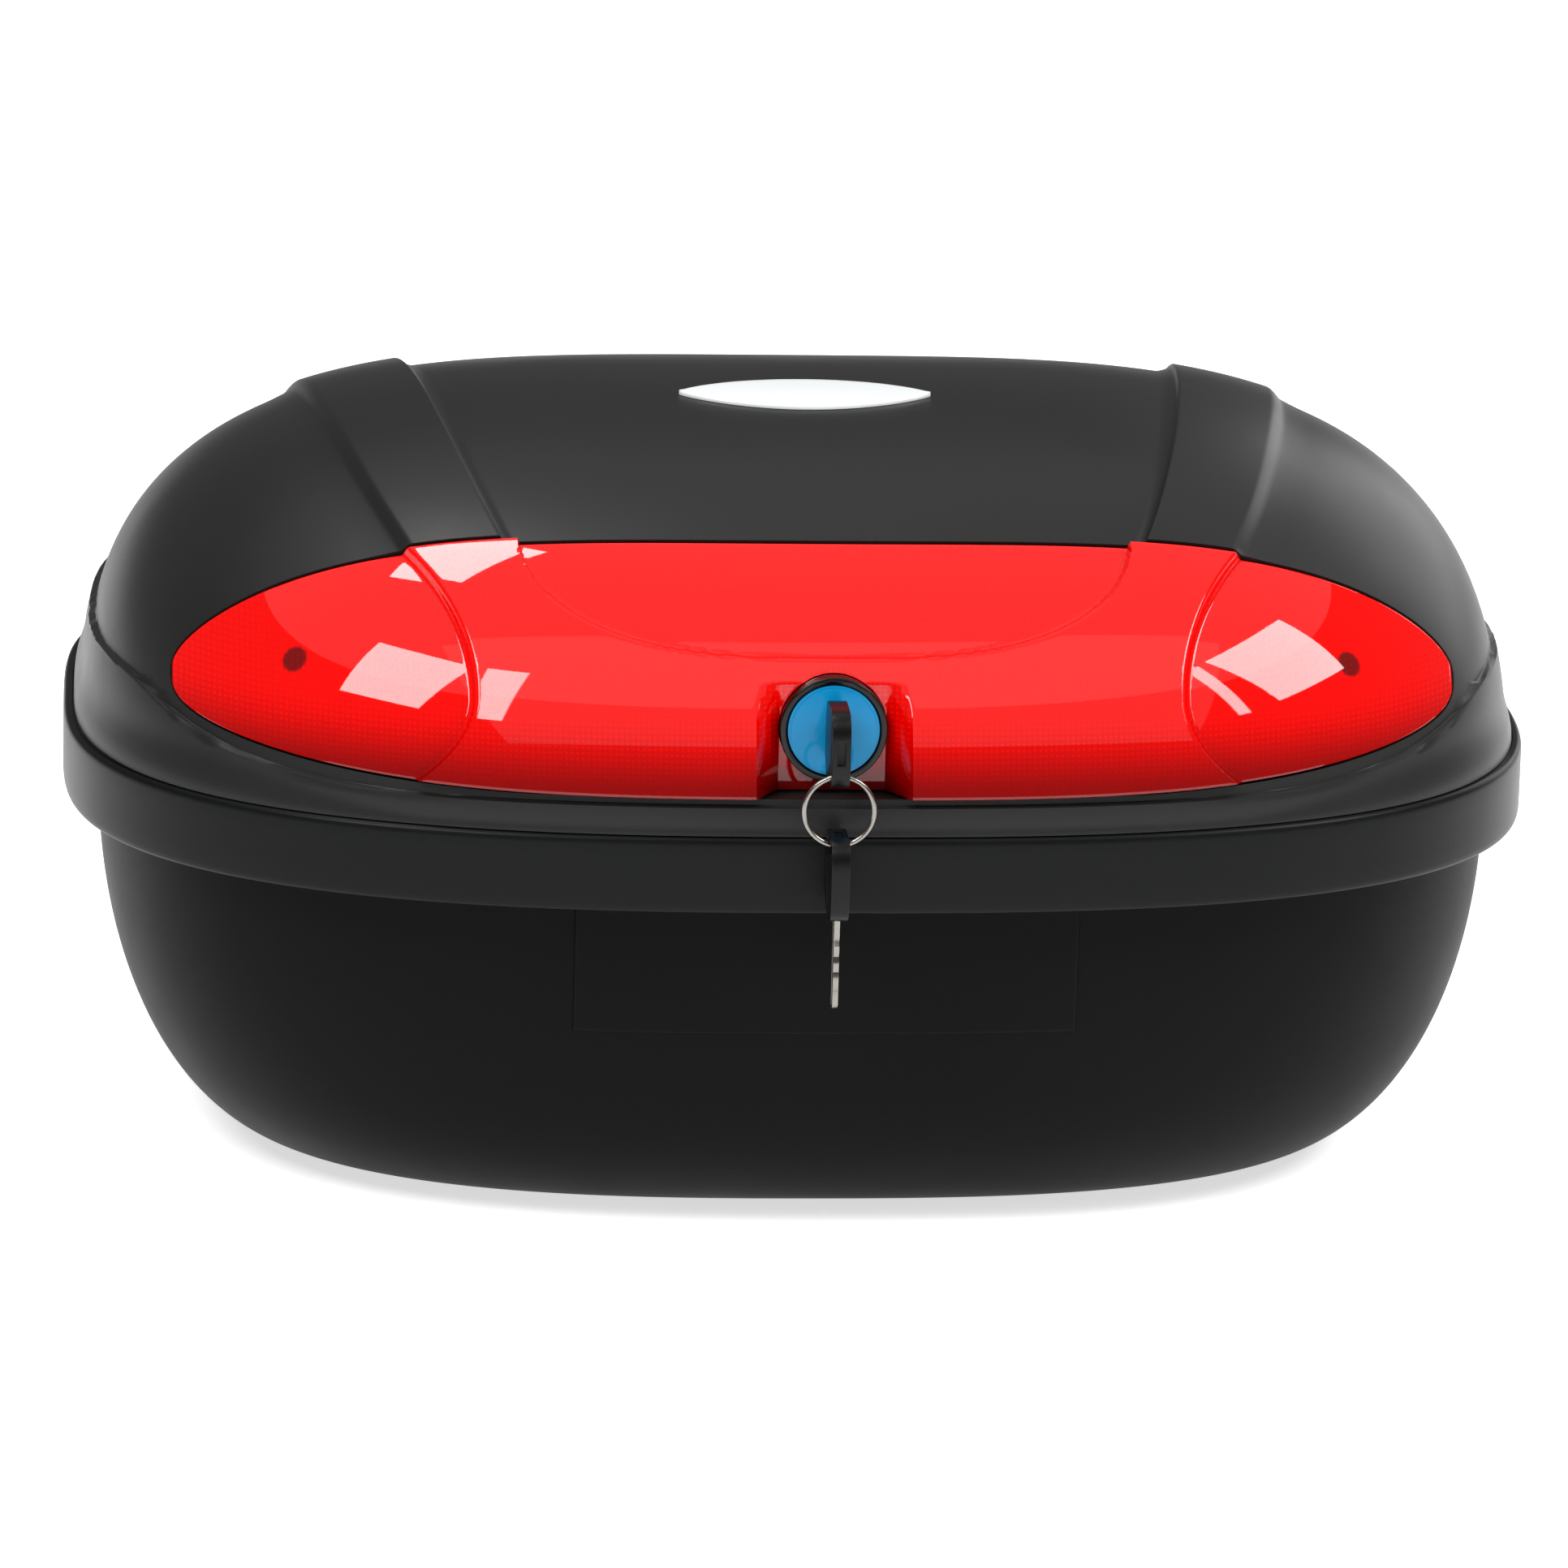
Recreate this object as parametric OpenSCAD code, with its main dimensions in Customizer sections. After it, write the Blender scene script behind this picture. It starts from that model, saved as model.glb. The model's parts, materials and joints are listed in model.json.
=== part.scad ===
// Motorcycle top case: a two-helmet case with a domed lid, a wide rear lens and a quick-release plate.
// +Z is up, z = 0 is the underside of the mounting plate, -Y is the lens and lock side and +Y the hinge side.

/* [Case] */
// Width over the rim band
case_w = 585; // [560:5:610]
// Depth over the rim band
case_d = 434; // [420:2:450]
// Height of the rim band's lower edge
band_z = 138; // [130:1:146]
// Height of the rim band
band_h = 30; // [26:1:34]
// Rise of the lid above the rim band
lid_h = 134; // [120:1:145]
// Wall thickness of the two shells
wall = 3; // [2.5:0.1:4]

/* [Lid detail] */
// Height of the two raised ridges
ridge_h = 4; // [2:0.5:5]
// How far the lid's skirt stands proud of the dome
skirt_h = 2.5; // [1:0.5:3]
// Half width of the lens
lens_x = 251; // [240:1:255]
// Depth of the pocket that the lens sits in
lens_seat = 7; // [6.5:0.5:7.5]

/* [Lock and keys] */
// Height of the lock's axis
lock_z = 207; // [204:1:210]
// Diameter of the lock's bezel
bezel_d = 41; // [38:1:44]
// Diameter of the turning face
face_d = 35; // [32:1:36]
// Width of the key's head
head_w = 30; // [26:1:30]
// Length of the key's head
head_l = 32.5; // [30:0.5:34]
// Mean diameter of the key ring
ring_d = 26.6; // [24:0.2:30]

/* [Mounting plate] */
// Width of the plate
plate_w = 190; // [180:5:200]
// Depth of the plate
plate_d = 170; // [160:5:180]
// Thickness of the plate
plate_t = 8; // [6:0.5:8]
// Bolt spacing across the case
bolt_x = 120; // [100:5:130]
// Bolt spacing along the case
bolt_y = 90; // [80:5:100]
// Clearance hole for an M6 bolt
bolt_d = 6.6; // [6.4:0.1:7]

/* [Hidden] */

half_w = case_w / 2;
half_d = case_d / 2;
band_top = band_z + band_h;
// Plan curves: |x/a|^n + |y/b|^n = 1, rounder at the lens side than at the hinge side
n_front = 2.67;
n_back = 3.6;
ROUND_SIDES = 72;

// The lid's dome stands a little inside the band
dome_a = half_w - 9.5;
dome_b = half_d - 4;
lid_z = band_top + 0.4;
crest_n = 3.92;
crest_m = 2.26;
LENS_ROWS = 8;

// Tub: bottom outline and the outline just below the band
tub_gap = 14;
tub_a0 = 200;
tub_a1 = half_w - tub_gap;
tub_b0_front = 120;
tub_b0_back = 165;
tub_b1 = half_d - tub_gap;
tub_top = band_top - 4.2;
// Raised panel on the front of the tub
panel_w = 194;
panel_z = 86;
panel_t = 1.8;

// Hinge
hinge_x = 110;
hinge_y = half_d + 7;
hinge_z = band_top + 3;
knuckle_d = 13;
hinge_pin_d = 5;
hinge_half = 24;
knuckle_half = 11.6;
leaf_t = 3;
band_pad_y = half_d - 5;
lid_pad_y = half_d - 3;
hinge_screw_x = 15;
lower_screw_z = 148;
upper_screw_z = 188;
screw_d = 4;

// Lock: planes along the lock's axis, from the face to the cam
pocket_y = -half_d + 19;
pocket_half = 20.5;
pocket_run = 9;
lens_t = 2.6;
face_y = -half_d + 12.7;
bezel_y = face_y + 0.8;
seat_y = pocket_y + 6;
seat_back_y = seat_y + 5.4;
barrel_d = 22;
barrel_back_y = -half_d + 51;
plug_d = 15;
plug_back_y = -half_d + 57;
cam_back_y = plug_back_y + 3;
running_fit = 0.05;
key_slot_w = 2.6;
key_slot_h = 9;

// Latch hook: it turns between the open and the hooked position about a pin
hook_y = -168;
hook_z = 189;
hook_turn = 20;
hook_half = 8;
latch_pin_d = 4;
shelf_z = 160;
shelf_y = -176;

// Key: its head's far end, and the slot for the ring
head_y = -half_d + 9.5;
ring_y = head_y - head_l + 5;
ring_slot_r = 2.2;
ring_slot_half = 11.8;
ring_wire = 2;
ring_gap = 0.8;
head_t = 7;
ring_z = lock_z - ring_slot_half + ring_gap + ring_wire / 2 - ring_d / 2;
spare_end_z = ring_z - ring_d / 2 + ring_wire / 2 + ring_gap + 5 - ring_slot_r;
blade_l = 36;

// Plate recess in the floor of the tub
plate_y = 15;
seat_top = 12;
seat_margin = 5;
post_y = 22;
tongue_travel = 12;

// ---------- plan and dome formulas ----------
function ramp(t) = let (c = min(1, max(0, t))) c * c * (3 - 2 * c);
function bulge(u, n, m) = pow(max(0, 1 - pow(min(1, abs(u)), n)), 1 / m);
function unit(v) = v / norm(v);
function plan_r(th, a, b) =
    let (n = sin(th) < 0 ? n_front : n_back)
    pow(pow(abs(cos(th)) / a, n) + pow(abs(sin(th)) / b, n), -1 / n);
function plan_point(th, a, b, z) = let (r = plan_r(th, a, b)) [r * cos(th), r * sin(th), z];
function plan_angles(count) = [for (i = [0 : count - 1]) 360 * i / count];

// A point of the smooth dome: x across, ph from the front rim (0) over the crest (90) to the back rim (180)
function dome_base(x, ph) =
    let (u = x / dome_a, n = ph < 90 ? n_front : n_back)
    [x, -dome_b * bulge(u, n, n) * cos(ph), lid_z + lid_h * bulge(u, crest_n, crest_m) * sin(ph)];
function dome_normal(x, ph) =
    let (
        dx = 0.02,
        dp = 0.2,
        xc = min(dome_a - 2 * dx, max(2 * dx - dome_a, x)),
        across = dome_base(xc + dx, ph) - dome_base(xc - dx, ph),
        along = dome_base(xc, ph + dp) - dome_base(xc, ph - dp)
    )
    unit(cross(across, along));
function dome_point(x, ph, off) = dome_base(x, ph) + dome_normal(x, ph) * off;
function dome_angle(x, y) = acos(-y / (dome_b * bulge(x / dome_a, n_front, n_front)));

// Lines across the dome that follow the ridges: v = 1 is a ridge's inner edge, 2 its outer edge, 3 the rim
function ridge_in(ph) = 124 + 42 * (1 - exp(-max(0, ph - 47) / 40));
function ridge_out(ph) = 163 + 48 * (1 - exp(-max(0, ph - 46) / 38));
function line_x(v, ph) =
    let (w = abs(v), xi = ridge_in(ph), xo = ridge_out(ph))
    sign(v) * (
        w < 1 ? w * xi :
        w < 2 ? xi + (w - 1) * (xo - xi) :
        xo + (dome_a - xo) * (1 - pow(3 - w, 2.2))
    );
function ridge_rise(v, ph) =
    let (w = abs(v))
    ridge_h * ramp((w - 0.96) / 0.1) * ramp((2.06 - w) / 0.22) * ramp((ph - 30) / 10) * ramp((170 - ph) / 25);

// The crease at the top of the skirt is low under the lens and higher round the sides
function crease_z(y) = lid_z + 11.6 + 23 * ramp((y + 200) / 120);
function skirt_rise(p) = skirt_h * ramp((crease_z(p[1]) - p[2]) / 0.8);
function crease_angle(x) =
    let (
        u = x / dome_a,
        rise = lid_h * bulge(u, crest_n, crest_m),
        y = -dome_b * bulge(u, n_front, n_front) * 0.98
    )
    asin(min(0.8, (crease_z(y) - lid_z) / max(1, rise)));

// Lens outline: the angle of its lower and upper edge at x
lens_mid = 27;
function lens_low(x, half) = lens_mid - 21.5 * bulge(x / half, 4, 2.69);
function lens_high(x, half) = lens_mid + 20.5 * bulge(x / half, 4, 2.3);
// On the lens the ridges run together into one raised band round a lower centre panel
function smile_angle(x) = 47.5 - 19.7 * bulge(x / 118, 3, 2);
function lens_edge_x(ph) = 136 + (ph > 21 ? 24 * pow((ph - 21) / 24, 2) : 7 * pow((21 - ph) / 8, 2));
function lens_rise(x, ph) =
    ridge_h * (1 - ramp((ph - smile_angle(x)) / 2.5 + 0.5) * (abs(x) < 118 ? 1 : 0)) *
    ramp((lens_edge_x(ph) - abs(x)) / 5 + 0.5);
// The flat pocket round the lock: nothing stands further out than the plane y
function pocket(p, y) =
    let (w = 1 - min(1, max(0, (abs(p[0]) - pocket_half) / pocket_run)))
    p[2] > lock_z + 20 ? p : [p[0], p[1] + max(0, y - p[1]) * w, p[2]];

// ---------- general solids ----------
// Skin over a stack of rings with the same number of points. closed joins the last ring to the first.
module skin(rings, closed = false) {
    n = len(rings[0]);
    m = len(rings);
    points = [for (r = rings) for (p = r) p];
    sides = [
        for (i = [0 : m - (closed ? 1 : 2)])
            for (j = [0 : n - 1])
                let (k = (j + 1) % n, a = i * n, b = ((i + 1) % m) * n)
                    for (t = [[a + j, b + j, b + k], [a + j, b + k, a + k]]) t
    ];
    caps = closed ? [] : [[for (j = [0 : n - 1]) j], [for (j = [n - 1 : -1 : 0]) (m - 1) * n + j]];
    polyhedron(points = points, faces = concat(sides, caps));
}

// One mesh out of exact and free-form solids
module moulded() {
    resize([0, 0, 0]) children();
}

// Band round the case: profile is a list of [distance in from the band's face, z]
module round_band(profile, sides = ROUND_SIDES) {
    skin([for (th = reversed(plan_angles(sides)))
        [for (q = profile) plan_point(th, half_w - q[0], half_d - q[0], q[1])]], true);
}

module along_y(d, y0, y1, fn = 48) {
    translate([0, y0, 0]) rotate([-90, 0, 0]) cylinder(d = d, h = y1 - y0, $fn = fn);
}

module along_x(d, x0, x1, fn = 48) {
    translate([x0, 0, 0]) rotate([0, 90, 0]) cylinder(d = d, h = x1 - x0, $fn = fn);
}

module box(lo, hi) {
    translate(lo) cube(hi - lo);
}

// Pan-head screw with its head at the origin and its shank towards +Y, and a cross in the head
module pan_screw(d, length) {
    difference() {
        union() {
            along_y(d, 0, length, 32);
            along_y(d * 1.9, -d * 0.55, 0, 32);
        }
        for (a = [0, 90])
            rotate([0, a, 0]) box([-d * 0.55, -d * 0.6, -d * 0.1], [d * 0.55, -d * 0.25, d * 0.1]);
    }
}

// ---------- tub ----------
function tub_ring(u, inset) =
    let (
        t = 1 - cos(90 * u),
        side = bulge(1 - t, 2.03, 2.03),
        end = bulge(1 - t, 2.6, 2.6),
        a = tub_a0 + (tub_a1 - tub_a0) * side - inset,
        front = tub_b0_front + (tub_b1 - tub_b0_front) * end - inset,
        back = tub_b0_back + (tub_b1 - tub_b0_back) * end - inset,
        z = inset + t * (band_z - inset)
    )
    [for (th = plan_angles(ROUND_SIDES)) plan_point(th, a, sin(th) < 0 ? front : back, z)];

function tub_edge(inset) =
    [for (th = plan_angles(ROUND_SIDES)) plan_point(th, tub_a1 + 1 - inset, tub_b1 + 1 - inset, tub_top)];

module tub_bowl() {
    steps = [0 : 0.1 : 1];
    outer = [for (u = steps) tub_ring(u, 0)];
    inner = [for (u = steps) tub_ring(u, wall)];
    last = len(inner) - 1;
    skin(concat(outer, [tub_edge(0), tub_edge(wall)], [for (i = [0 : last]) inner[last - i]]));
}

module seat_block(margin, z0, z1) {
    x = plate_w / 2 + margin;
    y = plate_d / 2 + margin;
    box([-x, plate_y - y, z0], [x, plate_y + y, z1]);
}

module tub_shell() {
    color("#1d1e1f") moulded() difference() {
        union() {
            tub_bowl();
            seat_block(seat_margin + 5, 1, seat_top);
            intersection() {
                box([-panel_w / 2, -half_d, panel_z], [panel_w / 2, -half_d / 2, band_z - 0.2]);
                difference() {
                    translate([0, -panel_t, -0.5]) tub_bowl();
                    translate([0, 1, 0]) skin([for (u = [0 : 0.1 : 1]) tub_ring(u, wall)]);
                }
            }
        }
        seat_block(1, -1, plate_t + 0.4);
        box([-14, post_y - 9, 0], [14, post_y + 9, seat_top + 1]);
        for (s = [-1, 1]) {
            box([s * 60 - 11, plate_y - plate_d / 2 - 9, 3.6], [s * 60 + 11, plate_y - plate_d / 2, 7.4]);
            for (y = [-58, 28]) translate([s * 33, y, 9]) cylinder(d = 3.2, h = 4, $fn = 24);
            translate([s * 16, 0, 150]) along_y(4.2, -half_d, -half_d + 25, 24);
        }
    }
}

module rim_band() {
    profile = [
        [1.4, band_z], [0.3, band_z + 1.2], [0, band_z + 3],
        [0, band_top - 3], [0.4, band_top - 1], [1.8, band_top],
        [3.6, band_top], [3.6, band_top - 1.6], [7.6, band_top - 1.6], [7.6, band_top], [16.8, band_top],
        [17.2, band_top - 3.8], [3, band_top - 3.8], [3, band_z + 3], [13.7, band_z + 3], [13.7, band_z]
    ];
    color("#2a2b2b") moulded() difference() {
        union() {
            round_band(profile);
            for (s = [-1, 1])
                translate([s * hinge_x, 0, 0])
                    box([-27, half_d - 12, band_z + 1], [27, band_pad_y + 0.5, band_top - 2.6]);
        }
        for (s = [-1, 1]) {
            box([s * hinge_x - 28, band_pad_y, band_z - 1], [s * hinge_x + 28, half_d + 5, band_top + 1]);
            for (x = [-hinge_screw_x, hinge_screw_x])
                translate([s * hinge_x + x, 0, lower_screw_z]) along_y(4.2, half_d - 14, half_d, 24);
        }
    }
}

module rim_seal() {
    z = band_top - 1.4;
    color("#101010") round_band([[4, z], [4, z + 1], [4.8, z + 1.6], [6.4, z + 1.6], [7.2, z + 1], [7.2, z]]);
}

// ---------- hinges ----------
module knuckle(x0, x1) {
    translate([0, hinge_y, hinge_z]) along_x(knuckle_d, x0, x1);
}

module web(points, x0, x1) {
    translate([x0, 0, 0]) rotate([90, 0, 90]) linear_extrude(x1 - x0) polygon(points);
}

module hinge_bracket(side) {
    color("#232424") translate([side * hinge_x, 0, 0]) difference() {
        union() {
            box([-hinge_half, band_pad_y, band_z + 4], [hinge_half, band_pad_y + leaf_t, band_top - 5]);
            for (s = [-1, 1]) {
                x0 = s < 0 ? -hinge_half : knuckle_half + 0.4;
                x1 = x0 + hinge_half - knuckle_half - 0.4;
                knuckle(x0, x1);
                web([
                    [band_pad_y, band_top - 5], [band_pad_y, band_top - 12],
                    [band_pad_y + leaf_t, band_top - 14], [hinge_y + 6, hinge_z - 2.5],
                    [hinge_y, hinge_z], [hinge_y - 6.4, hinge_z - 1], [band_pad_y + leaf_t, band_top - 4]
                ], x0, x1);
            }
        }
        translate([0, hinge_y, hinge_z]) along_x(hinge_pin_d + 0.06, -hinge_half - 1, hinge_half + 1);
        for (x = [-hinge_screw_x, hinge_screw_x])
            translate([x, band_pad_y, lower_screw_z]) along_y(screw_d + 0.3, -1, leaf_t + 8);
    }
}

module hinge_leaf(side) {
    color("#262727") translate([side * hinge_x, 0, 0]) difference() {
        union() {
            box([-hinge_half, lid_pad_y, hinge_z + 5], [hinge_half, lid_pad_y + leaf_t, hinge_z + 27]);
            knuckle(-knuckle_half, knuckle_half);
            web([
                [lid_pad_y, hinge_z + 14], [lid_pad_y, hinge_z + 5], [hinge_y - 6.3, hinge_z + 1],
                [hinge_y, hinge_z], [hinge_y + 6, hinge_z + 2.5], [lid_pad_y + leaf_t, hinge_z + 16]
            ], -knuckle_half, knuckle_half);
        }
        translate([0, hinge_y, hinge_z])
            along_x(hinge_pin_d + 2 * running_fit, -hinge_half - 1, hinge_half + 1);
        for (x = [-hinge_screw_x, hinge_screw_x])
            translate([x, lid_pad_y, upper_screw_z]) along_y(screw_d + 0.3, -1, leaf_t + 8);
    }
}

module hinge_pin(side) {
    color("#b9bcbe") translate([side * hinge_x, hinge_y, hinge_z]) {
        along_x(hinge_pin_d, -hinge_half, hinge_half + 1);
        along_x(hinge_pin_d + 3, hinge_half + 0.4, hinge_half + 2);
    }
}

module hinge_screws(y, z) {
    color("#9a9da0") for (s = [-1, 1], x = [-1, 1])
        translate([s * hinge_x + x * hinge_screw_x, y, z]) rotate([0, 0, 180]) pan_screw(screw_d, 10);
}

// ---------- striker ----------
module striker() {
    y0 = -half_d + 17.2;
    color("#85888b") difference() {
        union() {
            box([-24, y0, 142], [24, y0 + 3, shelf_z + 3]);
            box([-24, y0, shelf_z], [24, shelf_y, shelf_z + 3]);
        }
        for (s = [-1, 1]) translate([s * 16, 0, 150]) along_y(screw_d + 0.3, y0 - 1, y0 + 4);
    }
}

module striker_screws() {
    color("#9a9da0") for (x = [-16, 16])
        translate([x, -half_d + 20.2, 150]) rotate([0, 0, 180]) pan_screw(screw_d, 5.5);
}

// ---------- mounting plate and release ----------
module mounting_plate() {
    y0 = plate_y - plate_d / 2;
    color("#161617") difference() {
        union() {
            box([-plate_w / 2, y0, 0], [plate_w / 2, plate_y + plate_d / 2, plate_t]);
            box([-12, post_y - 6, plate_t - 1], [12, post_y + 6, 26]);
            for (s = [-1, 1]) box([s * 60 - 10, y0 - 8, 4], [s * 60 + 10, y0 + 1, 7]);
        }
        box([-8, post_y - 7, 14.5], [8, post_y + 7, 19.5]);
        for (x = [-1, 1], y = [-1, 1])
            translate([x * bolt_x / 2, plate_y + y * bolt_y / 2, 0]) {
                translate([0, 0, -1]) cylinder(d = bolt_d, h = plate_t + 2, $fn = 48);
                translate([0, 0, 4]) cylinder(d = 14, h = plate_t, $fn = 48);
            }
        for (y = [-1, 1]) box([-26, plate_y + y * 68 - 4, -1], [26, plate_y + y * 68 + 4, plate_t + 1]);
        for (s = [-1, 1]) box([s * 82 - 4, plate_y - 26, -1], [s * 82 + 4, plate_y + 26, plate_t + 1]);
    }
}

module release_housing() {
    z0 = seat_top + 0.05;
    color("#202122") difference() {
        union() {
            box([-29, -66, z0], [29, 36, 38]);
            for (s = [-1, 1], y = [-58, 28]) box([s * 33 - 6, y - 6, z0], [s * 33 + 6, y + 6, z0 + 4]);
        }
        box([-26, -63, z0 - 1], [26, 33, 35]);
        box([-13, -46, 30], [13, -8, 40]);
        for (s = [-1, 1], y = [-58, 28]) translate([s * 33, y, z0 - 1]) cylinder(d = 4.2, h = 8, $fn = 32);
    }
}

module release_screws() {
    color("#9a9da0") for (s = [-1, 1], y = [-58, 28])
        translate([s * 33, y, seat_top + 4.05]) rotate([-90, 0, 0]) pan_screw(3, 6);
}

module release_tongue() {
    color("#b3261c") {
        box([-7, -10, 15], [7, 26, 19]);
        box([-20, -39, 13], [20, -9, 25]);
        box([-11, -24, 24], [11, -18, 48]);
        box([-11, -29, 45], [11, -18, 48]);
    }
}

// Round wire along a list of points; axis is square to the wire, or nearly
module wire(points, d, axis, sides = 6) {
    last = len(points) - 1;
    rings = [for (i = [0 : last])
        let (
            along = unit(points[min(last, i + 1)] - points[max(0, i - 1)]),
            across = unit(cross(along, axis)),
            third = cross(along, across)
        )
        [for (j = [0 : sides - 1])
            let (a = 360 * j / sides)
            points[i] + d / 2 * (cos(a) * across + sin(a) * third)]];
    skin(rings);
}

module release_spring() {
    steps = 72;
    color("#c4c6c8") translate([0, -62, 19])
        wire(
            [for (i = [0 : steps]) [5 * cos(30 * i), 0.8 + 20.6 * i / steps, 5 * sin(30 * i)]],
            1.2, [0, 1, 0]
        );
}

// ---------- lid ----------
// Half the lines across the lid, and the rows along each line
LINES = [
    0, 0.08, 0.1653, 0.2379, 0.32, 0.5, 0.7, 0.88, 0.96, 1.01, 1.06, 1.4, 1.84, 1.95,
    2.06, 2.16, 2.3, 2.36, 2.41, 2.44, 2.56, 2.66, 2.76, 2.85, 2.92, 2.96, 2.975
];
function both_ways(list) = concat([for (i = [len(list) - 1 : -1 : 1]) -list[i]], list);
function between(a, b, count) = [for (i = [0 : count]) a + (b - a) * i / count];

// Angles of the rows at a line. The lens pocket's rows lie between low and high, with a step at each end.
function lid_rows(v, half, grow) =
    let (
        x = line_x(v, 27),
        pc = crease_angle(x),
        inside = abs(x) < half,
        low = max(pc + 0.8, inside ? lens_low(x, half) - grow - 0.2 : lens_mid - 1),
        high = max(low + 1.5, inside ? lens_high(x, half) + grow + 0.2 : lens_mid + 1),
        edge = 0.25
    )
    concat(
        [0, pc * 0.5, pc - 0.1, pc + 0.4],
        [low], between(low + edge, high - edge, LENS_ROWS), [high],
        between(high + (90 - high) / 5, 90, 4),
        [100, 112, 125, 138, 150, 160, max(168, 179 - pc), max(169, 180 - pc), 180]
    );

function in_seat(v, row, half) = row > 4 && row < 6 + LENS_ROWS && abs(line_x(v, 27)) < half;

function lid_offset(v, row, ph, half) =
    skirt_rise(dome_base(line_x(v, ph), ph)) + (in_seat(v, row, half) ? -lens_seat : ridge_rise(v, ph));

function lid_arc(v, half, grow, off, plane) =
    let (rows = lid_rows(v, half, grow))
    [for (i = [0 : len(rows) - 1])
        let (p = dome_point(line_x(v, rows[i]), rows[i], lid_offset(v, i, rows[i], half) + off))
        in_seat(v, i, half) ? pocket(p, plane) : p];

function reversed(list) = [for (i = [len(list) - 1 : -1 : 0]) list[i]];

module lid_shell() {
    color("#383838") moulded() difference() {
        union() {
            skin([for (v = reversed(both_ways(LINES))) concat(
                lid_arc(v, lens_x, 0, 0, seat_y),
                reversed(lid_arc(v, lens_x + 4, 1.1, -wall, seat_back_y))
            )]);
            for (s = [-1, 1])
                translate([s * hinge_x, 0, hinge_z]) box([-26.5, half_d - 14, 3], [26.5, lid_pad_y, 29]);
        }
        translate([0, 0, lock_z]) along_y(barrel_d + 0.4, seat_y - 5, seat_back_y + 5);
        for (s = [-1, 1], x = [-hinge_screw_x, hinge_screw_x])
            translate([s * hinge_x + x, 0, upper_screw_z]) along_y(4.2, half_d - 16, half_d, 24);
        for (s = [-1, 1]) lens_screw_at(s) translate([0, -20, 0]) along_y(3.6, 0, 40, 24);
    }
}

function lens_screw_point(s, off) = dome_point(s * 204, 27.5, off);

// Places a screw on the lens's centre line, square to the lens, head inside the lid
module lens_screw_at(s) {
    n = dome_normal(s * 204, 27.5);
    yaw = atan2(n[0], -n[1]);
    pitch = asin(n[2] / norm(n));
    translate(lens_screw_point(s, -12.4))
        rotate([0, 0, yaw]) rotate([-pitch, 0, 0]) rotate([0, 0, 180]) children();
}

LENS_LINES = [
    0, 8, 20.5, 25, 29.5, 45, 62, 80, 96, 108, 118, 127, 133, 140, 147, 160, 175, 190, 204, 218, 230,
    239, 245, 248.6
];

function lens_arc(x, rise, off) =
    [for (ph = between(lens_low(x, lens_x) + 0.5, lens_high(x, lens_x) - 0.5, 12))
        pocket(dome_point(x, ph, lens_rise(x, ph) * rise + off), pocket_y - off - 0.4)];

module lens_layer(xs, rise, outer, inner) {
    skin([for (x = reversed(both_ways(xs)))
        concat(lens_arc(x, rise, outer), reversed(lens_arc(x, rise, inner)))]);
}

module lens() {
    color("#e0231c") moulded() difference() {
        lens_layer(LENS_LINES, 1, -0.4, -0.4 - lens_t);
        translate([0, 0, lock_z]) along_y(bezel_d + 0.6, -half_d, -half_d + 60);
    }
}

module lens_reflector() {
    color("#c9cccd") moulded() difference() {
        lens_layer([for (x = LENS_LINES) if (x < 246) x], 0, -2 - lens_t, -2.8 - lens_t);
        translate([0, 0, lock_z]) along_y(bezel_d + 0.6, -half_d, -half_d + 60);
        for (s = [-1, 1]) lens_screw_at(s) along_y(9.6, -20, 20, 24);
    }
}

module lens_screws() {
    color("#35373a") for (s = [-1, 1]) lens_screw_at(s) {
        along_y(6.4, 0, 1.8, 32);
        along_y(3, 1.7, 7, 32);
        along_y(9, 6.1, 8.4, 32);
    }
}

module lid_badge() {
    half = 52;
    mid_y = -34;
    depth = 17;
    xs = [for (i = [10 : -1 : -10]) half * i / 10.4];
    color("#f2f4f4") skin([for (x = xs)
        let (reach = depth * pow(max(0.04, 1 - pow(abs(x) / half, 2)), 0.8))
        concat(
            [for (y = between(mid_y - reach, mid_y + reach, 6)) dome_point(x, dome_angle(x, y), 1.8)],
            [for (y = between(mid_y + reach, mid_y - reach, 6)) dome_point(x, dome_angle(x, y), 0.1)]
        )]);
}

// ---------- lock ----------
module lock_body() {
    color("#151516") translate([0, 0, lock_z]) difference() {
        union() {
            along_y(bezel_d, bezel_y, seat_y - 0.1, 96);
            along_y(barrel_d, seat_y - 1, barrel_back_y);
        }
        along_y(face_d + 0.6, bezel_y - 1, bezel_y + 4, 96);
        along_y(plug_d + 2 * running_fit, bezel_y, barrel_back_y + 1);
    }
}

module lock_nut() {
    color("#b9bcbe") translate([0, 0, lock_z]) difference() {
        translate([0, seat_back_y + 3.8, 0]) rotate([-90, 0, 0]) cylinder(d = 31.2, h = 5, $fn = 6);
        along_y(barrel_d + 0.1, seat_back_y, seat_back_y + 10);
    }
}

module latch_bracket() {
    color("#85888b") difference() {
        union() {
            box([-20, seat_back_y + 0.05, 184], [20, seat_back_y + 3.7, 212.5]);
            for (x = [-15, 12]) box([x, seat_back_y + 0.05, 184], [x + 3, hook_y + 6.5, 197]);
        }
        translate([0, 0, lock_z]) along_y(barrel_d + 0.4, seat_back_y - 1, seat_back_y + 5);
        translate([0, hook_y, hook_z]) along_x(latch_pin_d + 0.06, -20, 20);
    }
}

module latch_pin() {
    color("#b9bcbe") translate([0, hook_y, hook_z]) {
        along_x(latch_pin_d, -17, 17);
        for (x = [-18, 15.2]) along_x(latch_pin_d + 2.4, x, x + 1.6);
    }
}

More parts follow.
